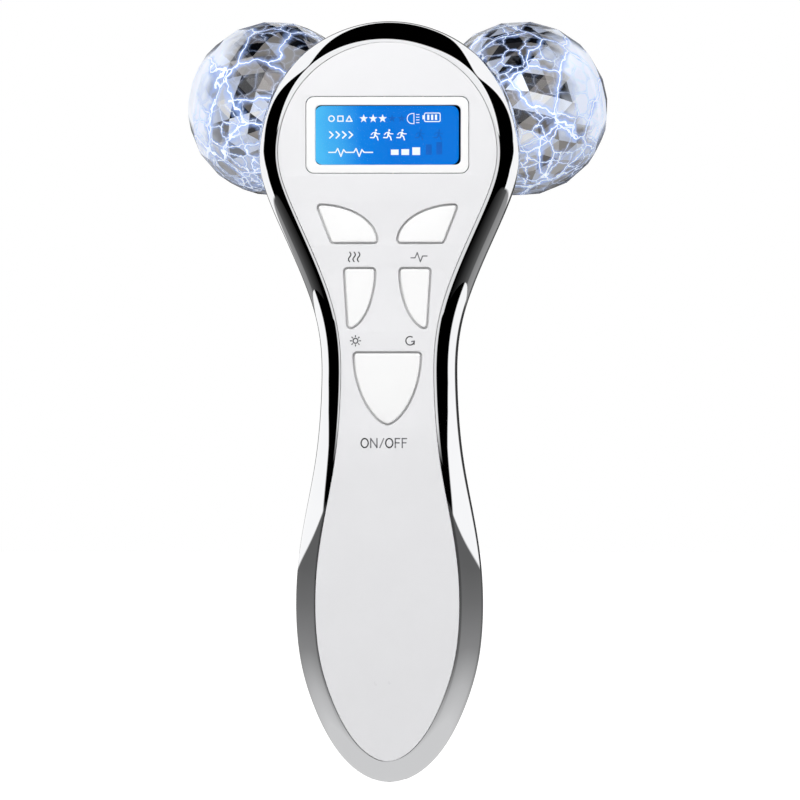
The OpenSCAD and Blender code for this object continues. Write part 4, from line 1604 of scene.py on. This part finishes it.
@dataclass
class Display:
    """The white surround, the window's lit picture and its marks."""

    finishes: Finishes
    surround: Surround = Surround()
    open_w: float = 32.5
    open_h: float = 13.3
    open_r: float = 1.2
    open_x: float = 0.15
    frame_y: float = -7.45
    frame_back: float = -5.0
    frame_edge: float = 0.2
    picture_y: float = -5.6
    film: float = 0.005
    lit_rise: float = 0.03
    dim_rise: float = 0.02
    top_line: float = 3.67
    middle_line: float = 0.05
    low_line: float = -3.85
    gasket_r: float = 0.5
    gasket_edge: float = 0.02
    # The gasket's opening is shifted, narrowed and rounded to paint shade at the window's right side and
    # corners.
    painted_shade_shift: Point2 = (-0.34, -0.05)
    painted_shade_trim: Point2 = (0.38, 0.2)
    painted_shade_round: float = 0.45

    @property
    def z(self) -> float:
        """Height of the display's middle."""
        return self.surround.z

    def build(self) -> None:
        """Makes the surround, the gasket and the picture's marks."""
        outer = rounded_block(0, self.z, self.surround.w, self.surround.h, self.surround.r)
        inner = rounded_block(self.open_x, self.z, self.open_w, self.open_h, self.open_r, 6)
        made = plate("display_surround", [outer, inner], self.frame_y, self.frame_back, self.frame_edge,
                     self.finishes["white_gloss"])
        carry(made, "case", "white_gloss", "display_frame")
        carry(self.gasket(), "case", "black_rubber", "display_gasket")
        for name, shapes, rise, finish in (("lit_marks", self.lit(), self.lit_rise, "lit_mark"),
                                           ("dim_marks", self.dim(), self.dim_rise, "dim_mark")):
            marks = flat_piece(name, shapes, self.picture_y - rise, self.picture_y - self.film,
                               self.finishes[finish])
            carry(marks, "case", self.slot(finish))
        top, middle = self.top_line, self.middle_line
        for name, count, pitch, x, z, shapes, finish in (
            ("lit_stars", 3, 2.12, -5.4, top, [star(0, 0, 0.99)], "lit_mark"),
            ("dim_stars", 2, 2.12, 0.96, top, [star(0, 0, 0.95)], "dim_mark"),
            ("lit_runners", 3, 2.95, -2.8, middle, runner(0, 0, 2.25), "lit_mark"),
            ("dim_runners", 2, 4.15, 7.2, middle, runner(0, 0, 2.25), "dim_mark"),
            ("battery_bars", 3, 0.86, 9.05, top + 0.28, [block(0, 0, 0.46, 1.2)], "lit_mark"),
        ):
            made = self.row(name, shapes, count, pitch, x, z, self.finishes[finish])
            carry(made, "case", self.slot(finish))

    @staticmethod
    def slot(finish: str) -> str:
        """The slot name for marks of a finish."""
        return "white_matte" if finish == "lit_mark" else "display_blue"

    def gasket(self) -> bpy.types.Object:
        """Makes the dark gasket round the picture; its opening is shifted, narrowed and rounded so that it
        shows only at the window's right side and corners, as painted shade there.

        Returns:
            The gasket.
        """
        low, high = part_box("display_gasket")
        outer = rounded_block(0, self.z, (high[0] - low[0]) / MM, (high[2] - low[2]) / MM, self.gasket_r)
        # Painted shade: the opening is moved left and made smaller so that the dark gasket shows only at
        # the right side and corners.
        shift, trim = self.painted_shade_shift, self.painted_shade_trim
        inner = rounded_block(self.open_x + shift[0], self.z + shift[1], self.open_w - trim[0],
                              self.open_h - trim[1], self.open_r + self.painted_shade_round, 8)
        return plate("gasket_and_painted_shade", [outer, inner], low[1] / MM, high[1] / MM, self.gasket_edge,
                     self.finishes["black_rubber"])

    def row(self, name: str, shapes: Sequence[Sequence[Point2]], count: int, pitch: float, x: float,
            z: float, material: bpy.types.Material) -> bpy.types.Object:
        """Repeats a mark along a line with Geometry Nodes.

        Args:
            name: The object's name.
            shapes: The mark's outlines about its own middle.
            count: How many there are.
            pitch: The step between two.
            x: The first one's place.
            z: The line's height above the display's middle.
            material: Their finish.

        Returns:
            The row as a plain mesh.
        """
        mark = flat_piece(name + "_mark", shapes, self.picture_y - self.lit_rise,
                          self.picture_y - self.film, material)
        base = mark.data.copy()
        bpy.data.objects.remove(mark)
        pattern = Pattern(name)
        line = pattern.node("GeometryNodeMeshLine", mode="OFFSET")
        pattern.link(pattern.number("Count", Kind.INT, count), line.inputs["Count"])
        pattern.link(pattern.number("First", Kind.VECTOR, (x * MM, 0.0, (self.z + z) * MM)),
                     line.inputs["Start Location"])
        pattern.link(pattern.number("Step", Kind.VECTOR, (pitch * MM, 0.0, 0.0)), line.inputs["Offset"])
        copies = pattern.node("GeometryNodeInstanceOnPoints")
        pattern.link(line.outputs["Mesh"], copies.inputs["Points"])
        pattern.link(pattern.source.outputs["Geometry"], copies.inputs["Instance"])
        return pattern.finish(copies.outputs["Instances"], name, material, base)

    def lit(self) -> list[list[Point2]]:
        """The display's lit marks that stand alone, line by line.

        Returns:
            Flat outlines.
        """
        z1, z2, z3 = self.z + self.top_line, self.z + self.middle_line, self.z + self.low_line
        lit: list[list[Point2]] = []
        # Top line, left: a circle, a square and a triangle.
        lit += stroke(arc(-12.6, z1, 0.62, 0, 360, 20), 0.26)
        lit += stroke(block(-10.6, z1, 1.15, 1.15), 0.26, True)
        lit += stroke([(-9.3, z1 - 0.58), (-8.0, z1 - 0.58), (-8.65, z1 + 0.62)], 0.26, True)
        # Middle line: four arrowheads.
        for k in range(4):
            x = -13.0 + k * 1.45
            lit += stroke([(x, z2 + 0.7), (x + 0.75, z2), (x, z2 - 0.7)], 0.32)
        # Lowest line: a double pulse and three bars.
        lit += stroke([(-13.2, z3), (-11.7, z3), (-11.2, z3 + 0.85), (-10.5, z3 - 0.9), (-9.9, z3 + 0.6),
                       (-9.4, z3), (-7.6, z3), (-7.1, z3 + 0.85), (-6.4, z3 - 0.9), (-5.8, z3 + 0.6),
                       (-5.3, z3), (-3.4, z3)], 0.27)
        lit += [block(1.55, z3 + 0.02, 1.72, 1.2), block(3.9, z3 + 0.05, 1.72, 1.3),
                block(6.35, z3 + 0.25, 1.75, 1.72)]
        # Top line, right: a headlight with four beams, and a battery.
        lit += stroke(arc(5.45, z1, 1.12, 95, 265, 16) + [(5.85, z1 - 1.15), (5.85, z1 + 1.15)], 0.17, True)
        for k in range(4):
            lit += stroke([(6.4, z1 + 0.9 - k * 0.6), (7.0, z1 + 0.9 - k * 0.6)], 0.16)
        lit += stroke(rounded_block(9.95, z1 + 0.28, 3.5, 1.9, 0.3, 4), 0.2, True)
        lit += [block(7.95, z1 + 0.28, 0.4, 0.9)]
        return lit

    def dim(self) -> list[list[Point2]]:
        """The dim blocks at the end of the lowest line."""
        z = self.z + self.low_line
        return [block(9.15, z + 0.6, 1.3, 2.3), block(11.5, z + 0.9, 1.3, 2.8)]


@dataclass
class Roller:
    """One crystal roller: a clear faceted shell, for both halves, over a faceted foil."""

    finishes: Finishes
    side: Side
    ball_r: float = 20.0
    crystal_t: float = 2.5
    cavity_t: float = 3.5
    flat: float = 17.5
    bore: float = 8.05
    fit: float = 0.985
    facets: int = 20
    facet_step: float = 17
    foil_facets: int = 22
    foil_step: float = 15.5
    last_ring: float = 80
    full_to: float = 58
    cavity_wide: int = 56
    cavity_deep: int = 40
    centre: Point3 = (27.6, 26.5, 150.9)
    hub: Point3 = (0.0, 11.0, 143.0)

    def place(self) -> Matrix:
        """Puts the roller's own frame, Z along its axle, in the part's frame.

        Returns:
            The matrix, in millimetres.
        """
        reach = Vector(self.centre) - Vector(self.hub)
        polar = math.acos(reach.z / reach.length)
        round_z = math.atan2(reach.y, reach.x)
        turned = (Matrix.Translation(self.centre) @ Matrix.Rotation(round_z, 4, "Z")
                  @ Matrix.Rotation(polar, 4, "Y"))
        return Matrix.Scale(-1, 4, (1, 0, 0)) @ turned if self.side is Side.LEFT else turned

    def rings(self, step: float, facets: int) -> list[tuple[float, int, float]]:
        """Lays out a ball's rings of facet corners, with half as many near the poles.

        Args:
            step: Degrees from one ring to the next.
            facets: Facets round the equator.

        Returns:
            Latitude in degrees, number of corners and turn of each ring.
        """
        count = int(self.last_ring / step)
        full = [(k * step, facets, 0.5 * (k % 2)) for k in range(count) if k * step < self.full_to]
        return full + [(k * step, facets // 2, 0.5 * (k % 2)) for k in range(len(full), count + 1)]

    def ball(self, name: str, radius: float, rings: Sequence[tuple[float, int, float]],
             material: bpy.types.Material) -> bpy.types.Object:
        """Makes a faceted ball with Geometry Nodes: rings of points, and the hull round them.

        Args:
            name: The object's name.
            radius: Radius over the facets' corners, in metres.
            rings: Latitude in degrees, number of corners and turn of each ring.
            material: Its finish.

        Returns:
            The ball about the origin, as a plain mesh.
        """
        pattern = Pattern(name)
        size = pattern.number("Radius", Kind.FLOAT, radius)
        join = pattern.node("GeometryNodeJoinGeometry")
        for latitude, count, turn in rings:
            corners = pattern.number(f"Corners at {latitude:g}", Kind.INT, count)
            for sign in ((1,) if latitude == 0 else (1, -1)):
                ring = pattern.node("GeometryNodeMeshCircle")
                pattern.link(corners, ring.inputs["Vertices"])
                ring.inputs["Radius"].default_value = math.cos(math.radians(latitude))
                move = pattern.node("GeometryNodeTransform")
                move.inputs["Translation"].default_value = (0, 0, sign * math.sin(math.radians(latitude)))
                move.inputs["Rotation"].default_value = (0, 0, 2 * math.pi * turn / count)
                pattern.link(ring.outputs[0], move.inputs[0])
                pattern.link(move.outputs[0], join.inputs[0])
        poles = pattern.node("GeometryNodeMeshLine", mode="END_POINTS")
        poles.inputs["Count"].default_value = 2
        poles.inputs["Start Location"].default_value = (0, 0, -1)
        poles.inputs["Offset"].default_value = (0, 0, 1)
        pattern.link(poles.outputs[0], join.inputs[0])
        hull = pattern.node("GeometryNodeConvexHull")
        pattern.link(join.outputs[0], hull.inputs[0])
        grow = pattern.node("GeometryNodeTransform")
        pattern.link(hull.outputs[0], grow.inputs[0])
        spread = pattern.node("ShaderNodeCombineXYZ")
        for socket in spread.inputs:
            pattern.link(size, socket)
        pattern.link(spread.outputs[0], grow.inputs["Scale"])
        return pattern.finish(grow.outputs[0], name, material)

    def build(self) -> None:
        """Makes the crystal and the foil, carries them and dresses what the roller turns on."""
        side = self.side.value
        dress(self.finishes, {"spool_" + side: "nylon", "bush_inner_" + side: "brass",
                              "bush_outer_" + side: "brass", "axle_" + side: "steel"})
        body = side + "_roller"
        crystal = self.crystal("crystal_" + side)
        carry(crystal, body, "crystal", "crystal_inner_" + side, "crystal_outer_" + side)
        foil = self.foil("foil_" + side)
        carry(foil, body, "silver_foil", "reflector_" + side)

    def crystal(self, name: str) -> bpy.types.Object:
        """Makes the clear shell: faceted outside, round inside, open where the axle enters.

        Args:
            name: The object's name.

        Returns:
            The shell in its place.
        """
        made = self.ball(name, self.ball_r * self.fit * MM, self.rings(self.facet_step, self.facets),
                         self.finishes["crystal"])
        work = bmesh.new()
        work.from_mesh(made.data)
        cut_at = bmesh.ops.bisect_plane(work, geom=[*work.verts, *work.edges, *work.faces],
                                        plane_co=(0, 0, -self.flat * MM), plane_no=(0, 0, -1),
                                        clear_outer=True)["geom_cut"]
        rim = [e for e in cut_at if isinstance(e, bmesh.types.BMEdge)]
        bmesh.ops.bridge_loops(work, edges=rim + self.cavity(work))
        bmesh.ops.recalc_face_normals(work, faces=work.faces)
        work.to_mesh(made.data)
        work.free()
        return self.settle(made, 8)

    def cavity(self, work: bmesh.types.BMesh) -> list[bmesh.types.BMEdge]:
        """Adds the shell's round hollow and the bore that leads to it.

        Args:
            work: The mesh to add to.

        Returns:
            The edges round the bore's mouth.
        """
        inside, wide = self.ball_r - self.cavity_t, self.cavity_wide
        mouth = math.sqrt(inside ** 2 - self.bore ** 2)
        low = math.asin(mouth / inside)
        levels = [(self.bore, -self.flat), (self.bore, -mouth)]
        for j in range(1, self.cavity_deep):
            a = -low + (math.pi / 2 + low) * j / self.cavity_deep
            levels.append((inside * math.cos(a), inside * math.sin(a)))
        rings = []
        for r, z in levels:
            rings.append([work.verts.new((r * MM * math.cos(t), r * MM * math.sin(t), z * MM))
                          for t in (2 * math.pi * k / wide for k in range(wide))])
        for lower, upper in zip(rings, rings[1:]):
            for k in range(wide):
                work.faces.new((lower[k], upper[k], upper[(k + 1) % wide], lower[(k + 1) % wide]))
        top = work.verts.new((0, 0, inside * MM))
        for k in range(wide):
            work.faces.new((rings[-1][k], top, rings[-1][(k + 1) % wide]))
        return [work.edges.get((rings[0][k], rings[0][(k + 1) % wide])) for k in range(wide)]

    def foil(self, name: str) -> bpy.types.Object:
        """Makes the faceted foil, with a tone for each facet, partly painted shade and light, and a share
        of painted-light mist at each corner.

        Args:
            name: The object's name.

        Returns:
            The foil in its place.
        """
        made = self.ball(name, (self.ball_r - self.crystal_t) * MM,
                         self.rings(self.foil_step, self.foil_facets), self.finishes["silver_foil"])
        tone_and_painted_shade = made.data.attributes.new("tone_and_painted_shade", "FLOAT", "FACE")
        tone_and_painted_shade.data.foreach_set("value", [self.tone_and_painted_shade(face) for face in made.data.polygons])
        painted_light_veil = made.data.attributes.new("painted_light_veil", "FLOAT", "POINT")
        painted_light_veil.data.foreach_set("value", [self.painted_light_veil(corner.co.normalized()) for corner in made.data.vertices])
        return self.settle(made, 5)

    def aim(self, direction: Vector) -> tuple[float, float]:
        """Turns a direction of the roller's own frame into the part's.

        Args:
            direction: The direction, of length 1.

        Returns:
            How far it points away from the head, and how far up.
        """
        turned = self.place().to_3x3() @ direction
        return (-turned.x if self.side is Side.LEFT else turned.x), turned.z

    def tone_and_painted_shade(self, face: bpy.types.MeshPolygon) -> float:
        """A facet's tone: at random, with painted shade that keeps dark ones near the top and the middle,
        and painted light that makes those low down grey and those facing outward paler.

        Args:
            face: The facet, in the roller's own frame.

        Returns:
            The tone, 0 to 1.
        """
        seed = 4.1 if self.side is Side.LEFT else 9.7
        chance = scatter(face.index * 12.9898 + seed)
        outward, up = self.aim(face.normal)
        lowest = min(0.6, 0.45 * max(0.0, -up) + 0.4 * max(0.0, outward + 0.4 * up - 0.3))
        highest = 1.0 - 0.35 * max(0.0, up) - 0.25 * max(0.0, -up)
        return lowest + (highest - lowest) * min(0.999, chance) ** (1.25 if up > 0 else 1.0)

    def painted_light_veil(self, direction: Vector) -> float:
        """How much white mist of painted light hides the foil: most at its outer edge, above the middle,
        where the light falls.

        Args:
            direction: The place's direction from the roller's centre.

        Returns:
            The mist's strength, 0 to 1.
        """
        outward, up = self.aim(direction)
        return min(1.0, max(0.0, 1.9 * (0.9 * outward + 0.4 * up - 0.38)))

    def settle(self, piece: bpy.types.Object, angle: float) -> bpy.types.Object:
        """Moves a roller's piece to its place and keeps its facets flat.

        Args:
            piece: The piece about the origin.
            angle: Edges sharper than this, in degrees, stay hard.

        Returns:
            The piece.
        """
        place = self.place()
        shift = Matrix.Translation(Vector(place.translation) * MM)
        piece.data.transform(shift @ place.to_3x3().to_4x4())
        if self.side is Side.LEFT:
            piece.data.flip_normals()
        piece.data.polygons.foreach_set("use_smooth", [True] * len(piece.data.polygons))
        piece.data.set_sharp_from_angle(angle=math.radians(angle))
        piece.data.update()
        return piece


@dataclass
class Yoke:
    """The chrome yoke that carries both rollers, with its seal, screws, washers, clips and lamps."""

    finishes: Finishes
    wear: dict[str, str] = field(default_factory=lambda: {
        "yoke": "chrome", "yoke_seal": "black_rubber", "yoke_screws": "steel", "axle_washers": "steel",
        "axle_clips": "steel", "roller_lamps": "lamp_blue"})

    def build(self) -> None:
        """Dresses the yoke's solids; their shapes are right as they stand."""
        dress(self.finishes, self.wear)


@dataclass
class Insides:
    """What the case holds: solids that keep their own shape."""

    finishes: Finishes
    wear: dict[str, str] = field(default_factory=lambda: {
        "chassis": "nylon", "display_lens": "clear_window", "lcd_glass": "display_blue",
        "lcd_backlight": "white_matte", "lcd_pins": "brass", "main_board": "circuit_green",
        "board_chips": "black_plastic", "board_screws": "steel", "switch_bodies": "steel",
        "battery_cell": "battery_can", "battery_tape": "yellow_tape", "motor_can": "steel",
        "motor_shaft": "steel", "eccentric_weight": "brass", "charge_socket": "steel",
        "charge_board": "circuit_green", "wiring": "red_wire", "case_screws": "steel"})

    def build(self) -> None:
        """Dresses the solids inside the case and the buttons' plungers."""
        dress(self.finishes, self.wear)
        dress(self.finishes, {key.value + "_plunger": "black_plastic" for key in Key})


@dataclass
class Studio:
    """The floor, the light and the camera."""

    azimuth: float = 4.0
    distance: float = 4.0
    across: float = 0.1787
    middle: Point3 = (2.32 * MM, 0.0, 85.4 * MM)
    floor_size: float = 6.0
    floor_gap: float = 0.0002
    table_gap: float = 0.0006
    table_level: float = 0.64
    table_hole: float = 0.0005
    near: float = 0.041
    near_top: float = 0.102
    reach: float = 0.25
    far_top: float = 0.165
    band_steps: int = 96

    def build(self) -> None:
        """Makes the studio."""
        self.floor()
        self.surroundings()
        self.world()
        self.lamps()
        self.camera()
        bpy.context.scene.view_settings.view_transform = "Standard"

    def floor(self) -> None:
        """Makes the plain pale floor just under the tip."""
        size = self.floor_size
        sheet = NodeSheet("floor")
        sheet.set(Base_Color=(0.86, 0.86, 0.86), Roughness=0.9, Emission_Color=(1.0, 1.0, 1.0))
        path = sheet.node("ShaderNodeLightPath")
        sheet.feed("Emission Strength", sheet.math("MULTIPLY", path.outputs["Is Camera Ray"], 0.8))
        low = BOX_AT_LOAD[0][2] - self.floor_gap
        verts = [(-size, -size, low), (size, -size, low), (size, size, low), (-size, size, low)]
        made = new_object("floor", verts, [(0, 1, 2, 3)], sheet.material)
        if made.data.polygons[0].normal.z < 0:
            made.data.flip_normals()
        made.visible_glossy = False

    def surroundings(self) -> None:
        """Makes the cards that only polished faces see: round the grip, round the studio, and the table."""
        low = BOX_AT_LOAD[0][2] - self.table_gap
        self.band("grip_card", (self.near, low), (self.near, self.near_top), self.grip_card())
        self.band("studio_wall", (self.reach, low), (self.reach, self.far_top), self.wall())
        self.band("near_table", (self.table_hole, low), (self.near, low), self.table())
        self.band("far_table", (self.near, low), (self.reach, low), self.far_table())

    def band(self, name: str, first: Point2, second: Point2, material: bpy.types.Material) -> None:
        """Makes a card between two circles about the part, for reflections only.

        Args:
            name: The object's name.
            first: The first circle's radius and height.
            second: The second circle's radius and height.
            material: Its finish.
        """
        count = self.band_steps
        verts = [(r * math.cos(2 * math.pi * k / count), r * math.sin(2 * math.pi * k / count), z)
                 for r, z in (first, second) for k in range(count)]
        faces = [(k, (k + 1) % count, (k + 1) % count + count, k + count) for k in range(count)]
        made = new_object(name, verts, faces, material)
        made.visible_camera = made.visible_diffuse = made.visible_transmission = False
        made.visible_shadow = made.visible_volume_scatter = False

    def grip_card(self) -> bpy.types.Material:
        """Makes the near card: black in front, thinning downward, white behind, grey below.

        Returns:
            The card's finish.
        """
        sheet = self.glow_sheet("grip_card")
        axes = sheet.axes(sheet.place())
        front = sheet.math("MULTIPLY", axes["Y"], -1 / self.near)
        height = axes["Z"]
        limit = self.levels(sheet, height, ((0.057, 0.92), (0.0636, 0.76), (0.070, 0.6), (0.0778, 0.4),
                                            (0.0844, 0.12), (0.090, 0.0)))
        white = sheet.span(sheet.math("SUBTRACT", front, limit), -0.03, 0.03, 1.0, 0.0)
        strip = sheet.math("MULTIPLY", sheet.span(front, 0.87, 0.9, 0.0, 0.8),
                           sheet.span(height, 0.072, 0.08, 0.0, 1.0))
        line = sheet.math("ADD", front, sheet.span(axes["X"], -0.01, 0.01, -0.035, -0.17))
        line = sheet.span(line, -0.8, -0.74, 0.04, 1.0)
        upper = sheet.math("MAXIMUM", sheet.math("MULTIPLY", white, line), strip)
        grey = self.levels(sheet, height, ((-0.001, 0.64), (0.013, 0.5), (0.027, 0.25), (0.040, 0.16),
                                           (0.050, 0.12), (0.064, 0.11)))
        dark = sheet.math("MAXIMUM", sheet.span(line, 0.0, 1.0, 0.4, 0.0),
                          sheet.span(front, 0.8, 0.86, 0.0, 0.45))
        dark = sheet.math("MULTIPLY", dark, sheet.span(height, 0.004, 0.03, 0.0, 1.0))
        grey = sheet.math("MULTIPLY", grey, sheet.span(dark, 0.0, 1.0, 1.0, 0.0))
        edge = sheet.math("MULTIPLY_ADD", front, 0.0094, third=0.0545)
        rise = sheet.span(sheet.math("SUBTRACT", height, edge), -0.0006, 0.0006, 0.0, 1.0)
        return self.finish(sheet, rise, grey, upper)

    def wall(self) -> bpy.types.Material:
        """Makes the far wall: black in front and white behind; below, dark in front and grey behind.

        Returns:
            The wall's finish.
        """
        sheet = self.glow_sheet("studio_wall")
        axes = sheet.axes(sheet.place())
        back = sheet.math("MULTIPLY", axes["Y"], 1 / self.reach)
        height = axes["Z"]
        limit = sheet.span(height, 0.1, 0.145, 0.19, 0.40)
        upper = sheet.span(sheet.math("SUBTRACT", back, limit), -0.02, 0.02, 0.0, 1.0)
        line = sheet.math("ADD", back, sheet.span(axes["X"], -0.01, 0.01, 0.01, 0.04))
        upper = sheet.math("MULTIPLY", upper, sheet.span(line, 0.88, 0.93, 1.0, 0.06))
        upper = sheet.math("MAXIMUM", upper, sheet.span(back, -0.93, -0.91, 0.8, 0.0))
        lower = self.low_tone(sheet, back)
        bow = sheet.math("MAXIMUM", back, 0.0)
        edge = sheet.math("MULTIPLY_ADD", sheet.math("MULTIPLY", bow, bow), 0.038, third=0.055)
        rise = sheet.span(sheet.math("SUBTRACT", height, edge), -0.002, 0.002, 0.0, 1.0)
        return self.finish(sheet, rise, lower, upper)

    def table(self) -> bpy.types.Material:
        """Makes the table inside the near card, which glows evenly.

        Returns:
            The table's finish.
        """
        sheet = self.glow_sheet("near_table")
        sheet.set(Emission_Strength=self.table_level)
        return sheet.material

    def far_table(self) -> bpy.types.Material:
        """Makes the table beyond the near card, as pale as the wall's foot in the same direction.

        Returns:
            The table's finish.
        """
        sheet = self.glow_sheet("far_table")
        flat = sheet.node("ShaderNodeVectorMath", operation="NORMALIZE")
        sheet.link(sheet.place(scale=(1, 1, 0)), flat.inputs[0])
        sheet.feed("Emission Strength", self.low_tone(sheet, sheet.axes(flat.outputs[0])["Y"]))
        return sheet.material

    @staticmethod
    def low_tone(sheet: NodeSheet, back: Socket) -> Socket:
        """How bright the lower studio is: black in front, dark grey at the sides, paler behind.

        Args:
            sheet: The sheet to add to.
            back: How far the place lies behind the part, -1 to 1.

        Returns:
            The level.
        """
        return Studio.levels(sheet, back, ((-1.0, 0.0), (-0.6, 0.01), (0.0, 0.05), (0.42, 0.1), (0.5, 0.25),
                                           (0.86, 0.32), (0.93, 0.1), (1.0, 0.06)))

    @staticmethod
    def levels(sheet: NodeSheet, value: Socket, stops: Sequence[Point2]) -> Socket:
        """Reads a level between named stops.

        Args:
            sheet: The sheet to add to.
            value: Where to read.
            stops: Places and levels, in rising order.

        Returns:
            The level.
        """
        first, last = stops[0][0], stops[-1][0]
        share = sheet.span(value, first, last, 0.0, 1.0)
        return sheet.ramp(share, [((at - first) / (last - first), (level,) * 3) for at, level in stops])

    @staticmethod
    def finish(sheet: NodeSheet, factor: Socket, first: Socket, second: Socket) -> bpy.types.Material:
        """Ends a glowing sheet: its brightness goes from one level to another.

        Args:
            sheet: The sheet to end.
            factor: The share of the second level.
            first: The level at 0.
            second: The level at 1.

        Returns:
            The material.
        """
        low = sheet.math("MULTIPLY", first, sheet.span(factor, 0.0, 1.0, 1.0, 0.0))
        sheet.feed("Emission Strength", sheet.math("MULTIPLY_ADD", second, factor, third=low))
        return sheet.material

    @staticmethod
    def glow_sheet(name: str) -> NodeSheet:
        """Starts a material that only glows.

        Args:
            name: The material's name.

        Returns:
            Its sheet.
        """
        sheet = NodeSheet(name)
        sheet.set(Base_Color=(0.0, 0.0, 0.0), Specular_IOR_Level=0.0, Emission_Color=(1.0, 1.0, 1.0))
        return sheet

    def world(self) -> None:
        """White to the camera; to polished metal a studio with a dark front and roof and a grey floor."""
        world = bpy.data.worlds.new("studio")
        bpy.context.scene.world = world
        world.use_nodes = True
        world.node_tree.nodes.clear()
        sky = Nodes(world.node_tree)
        axes = sky.axes(sky.node("ShaderNodeTexCoord").outputs["Generated"])
        front = sky.math("MULTIPLY", axes["Y"], -1.0)
        up = axes["Z"]
        side = sky.math("ABSOLUTE", axes["X"])
        total = sky.math("ADD", sky.math("MULTIPLY", side, side), sky.math("MULTIPLY", up, up))
        slant = sky.math("MULTIPLY", sky.math("MULTIPLY", side, up), 2.0)
        slant = sky.math("DIVIDE", slant, sky.math("ADD", total, 0.0001))
        slant = sky.math("MAXIMUM", slant, 0.0)
        rise = sky.math("MULTIPLY", sky.math("MAXIMUM", sky.math("SUBTRACT", up, 0.1), 0.0), 1.2)
        bow = sky.math("MULTIPLY", sky.math("POWER", slant, 6.0), 1.56)
        lean = sky.math("SUBTRACT", sky.math("ADD", front, rise), bow)
        upper = sky.span(lean, -0.48, -0.42, 1.0, 0.0, soft=True)
        edge = sky.span(front, -0.96, -0.9, 0.1, 1.0, soft=True)
        upper = sky.math("MULTIPLY", upper, edge)
        limit = sky.math("SUBTRACT", 0.92, sky.math("MULTIPLY", sky.math("POWER", slant, 3.0), 0.3))
        strip = sky.span(sky.math("SUBTRACT", front, limit), -0.02, 0.02, 0.0, 0.95, soft=True)
        upper = sky.math("MAXIMUM", upper, strip)
        down = sky.math("MULTIPLY", up, -1.0)
        lower = sky.math("MULTIPLY", sky.span(front, -0.6, 0.75, 0.34, 0.05, soft=True),
                         sky.span(down, 0.25, 0.95, 1.0, 2.2, soft=True))
        studio = sky.choose(sky.span(up, -0.06, 0.02, 0.0, 1.0, soft=True), lower, upper)
        path = sky.node("ShaderNodeLightPath")
        seen = sky.math("MAXIMUM", path.outputs["Is Camera Ray"], path.outputs["Is Transmission Ray"])
        plain = sky.choose(seen, 0.45, 1.0)
        level = sky.choose(path.outputs["Is Glossy Ray"], plain, studio)
        level = sky.choose(path.outputs["Is Camera Ray"], level, 1.0)
        background = sky.node("ShaderNodeBackground")
        sky.link(level, background.inputs["Strength"])
        background.inputs["Color"].default_value = (1.0, 1.0, 1.0, 1.0)
        output = sky.node("ShaderNodeOutputWorld")
        sky.link(background.outputs[0], output.inputs[0])

    def lamps(self) -> None:
        """Two soft lamps in front and above: the key near the middle, the fill at the right."""
        for name, at, size, power in (
                ("key", (-0.1, -0.38, 0.42), 0.4, 1.5), ("fill", (0.75, -0.4, 0.45), 0.6, 1.2)):
            data = bpy.data.lights.new(name, "AREA")
            data.shape, data.size, data.energy = "DISK", size, power
            lamp = bpy.data.objects.new(name, data)
            bpy.context.scene.collection.objects.link(lamp)
            aim = Vector((0, 0, 0.09)) - Vector(at)
            lamp.matrix_world = Matrix.Translation(at) @ aim.to_track_quat("-Z", "Y").to_matrix().to_4x4()
            lamp.visible_glossy = False

    def camera(self) -> None:
        """The photograph's angle: level, from far away and a little to the right."""
        data = bpy.data.cameras.new("camera")
        data.lens = data.sensor_width * self.distance / self.across
        data.clip_end = 50
        camera = bpy.data.objects.new("camera", data)
        bpy.context.scene.collection.objects.link(camera)
        turn = Matrix.Rotation(math.radians(self.azimuth), 4, "Z")
        middle = turn @ Vector((self.middle[0], 0, 0)) + Vector((0, 0, self.middle[2]))
        back, level = Matrix.Translation((0, -self.distance, 0)), Matrix.Rotation(math.pi / 2, 4, "X")
        camera.matrix_world = Matrix.Translation(middle) @ turn @ back @ level
        bpy.context.scene.camera = camera


def main() -> None:
    """Builds every sub-assembly in order."""
    logging.basicConfig(level=logging.INFO, format="%(name)s: %(message)s")
    finishes = Finishes()
    Studio().build()
    Insides(finishes).build()
    Case(finishes).build()
    Panel(finishes).build()
    Display(finishes).build()
    for side in Side:
        Roller(finishes, side).build()
    Yoke(finishes).build()


if __name__ == "__main__":
    main()
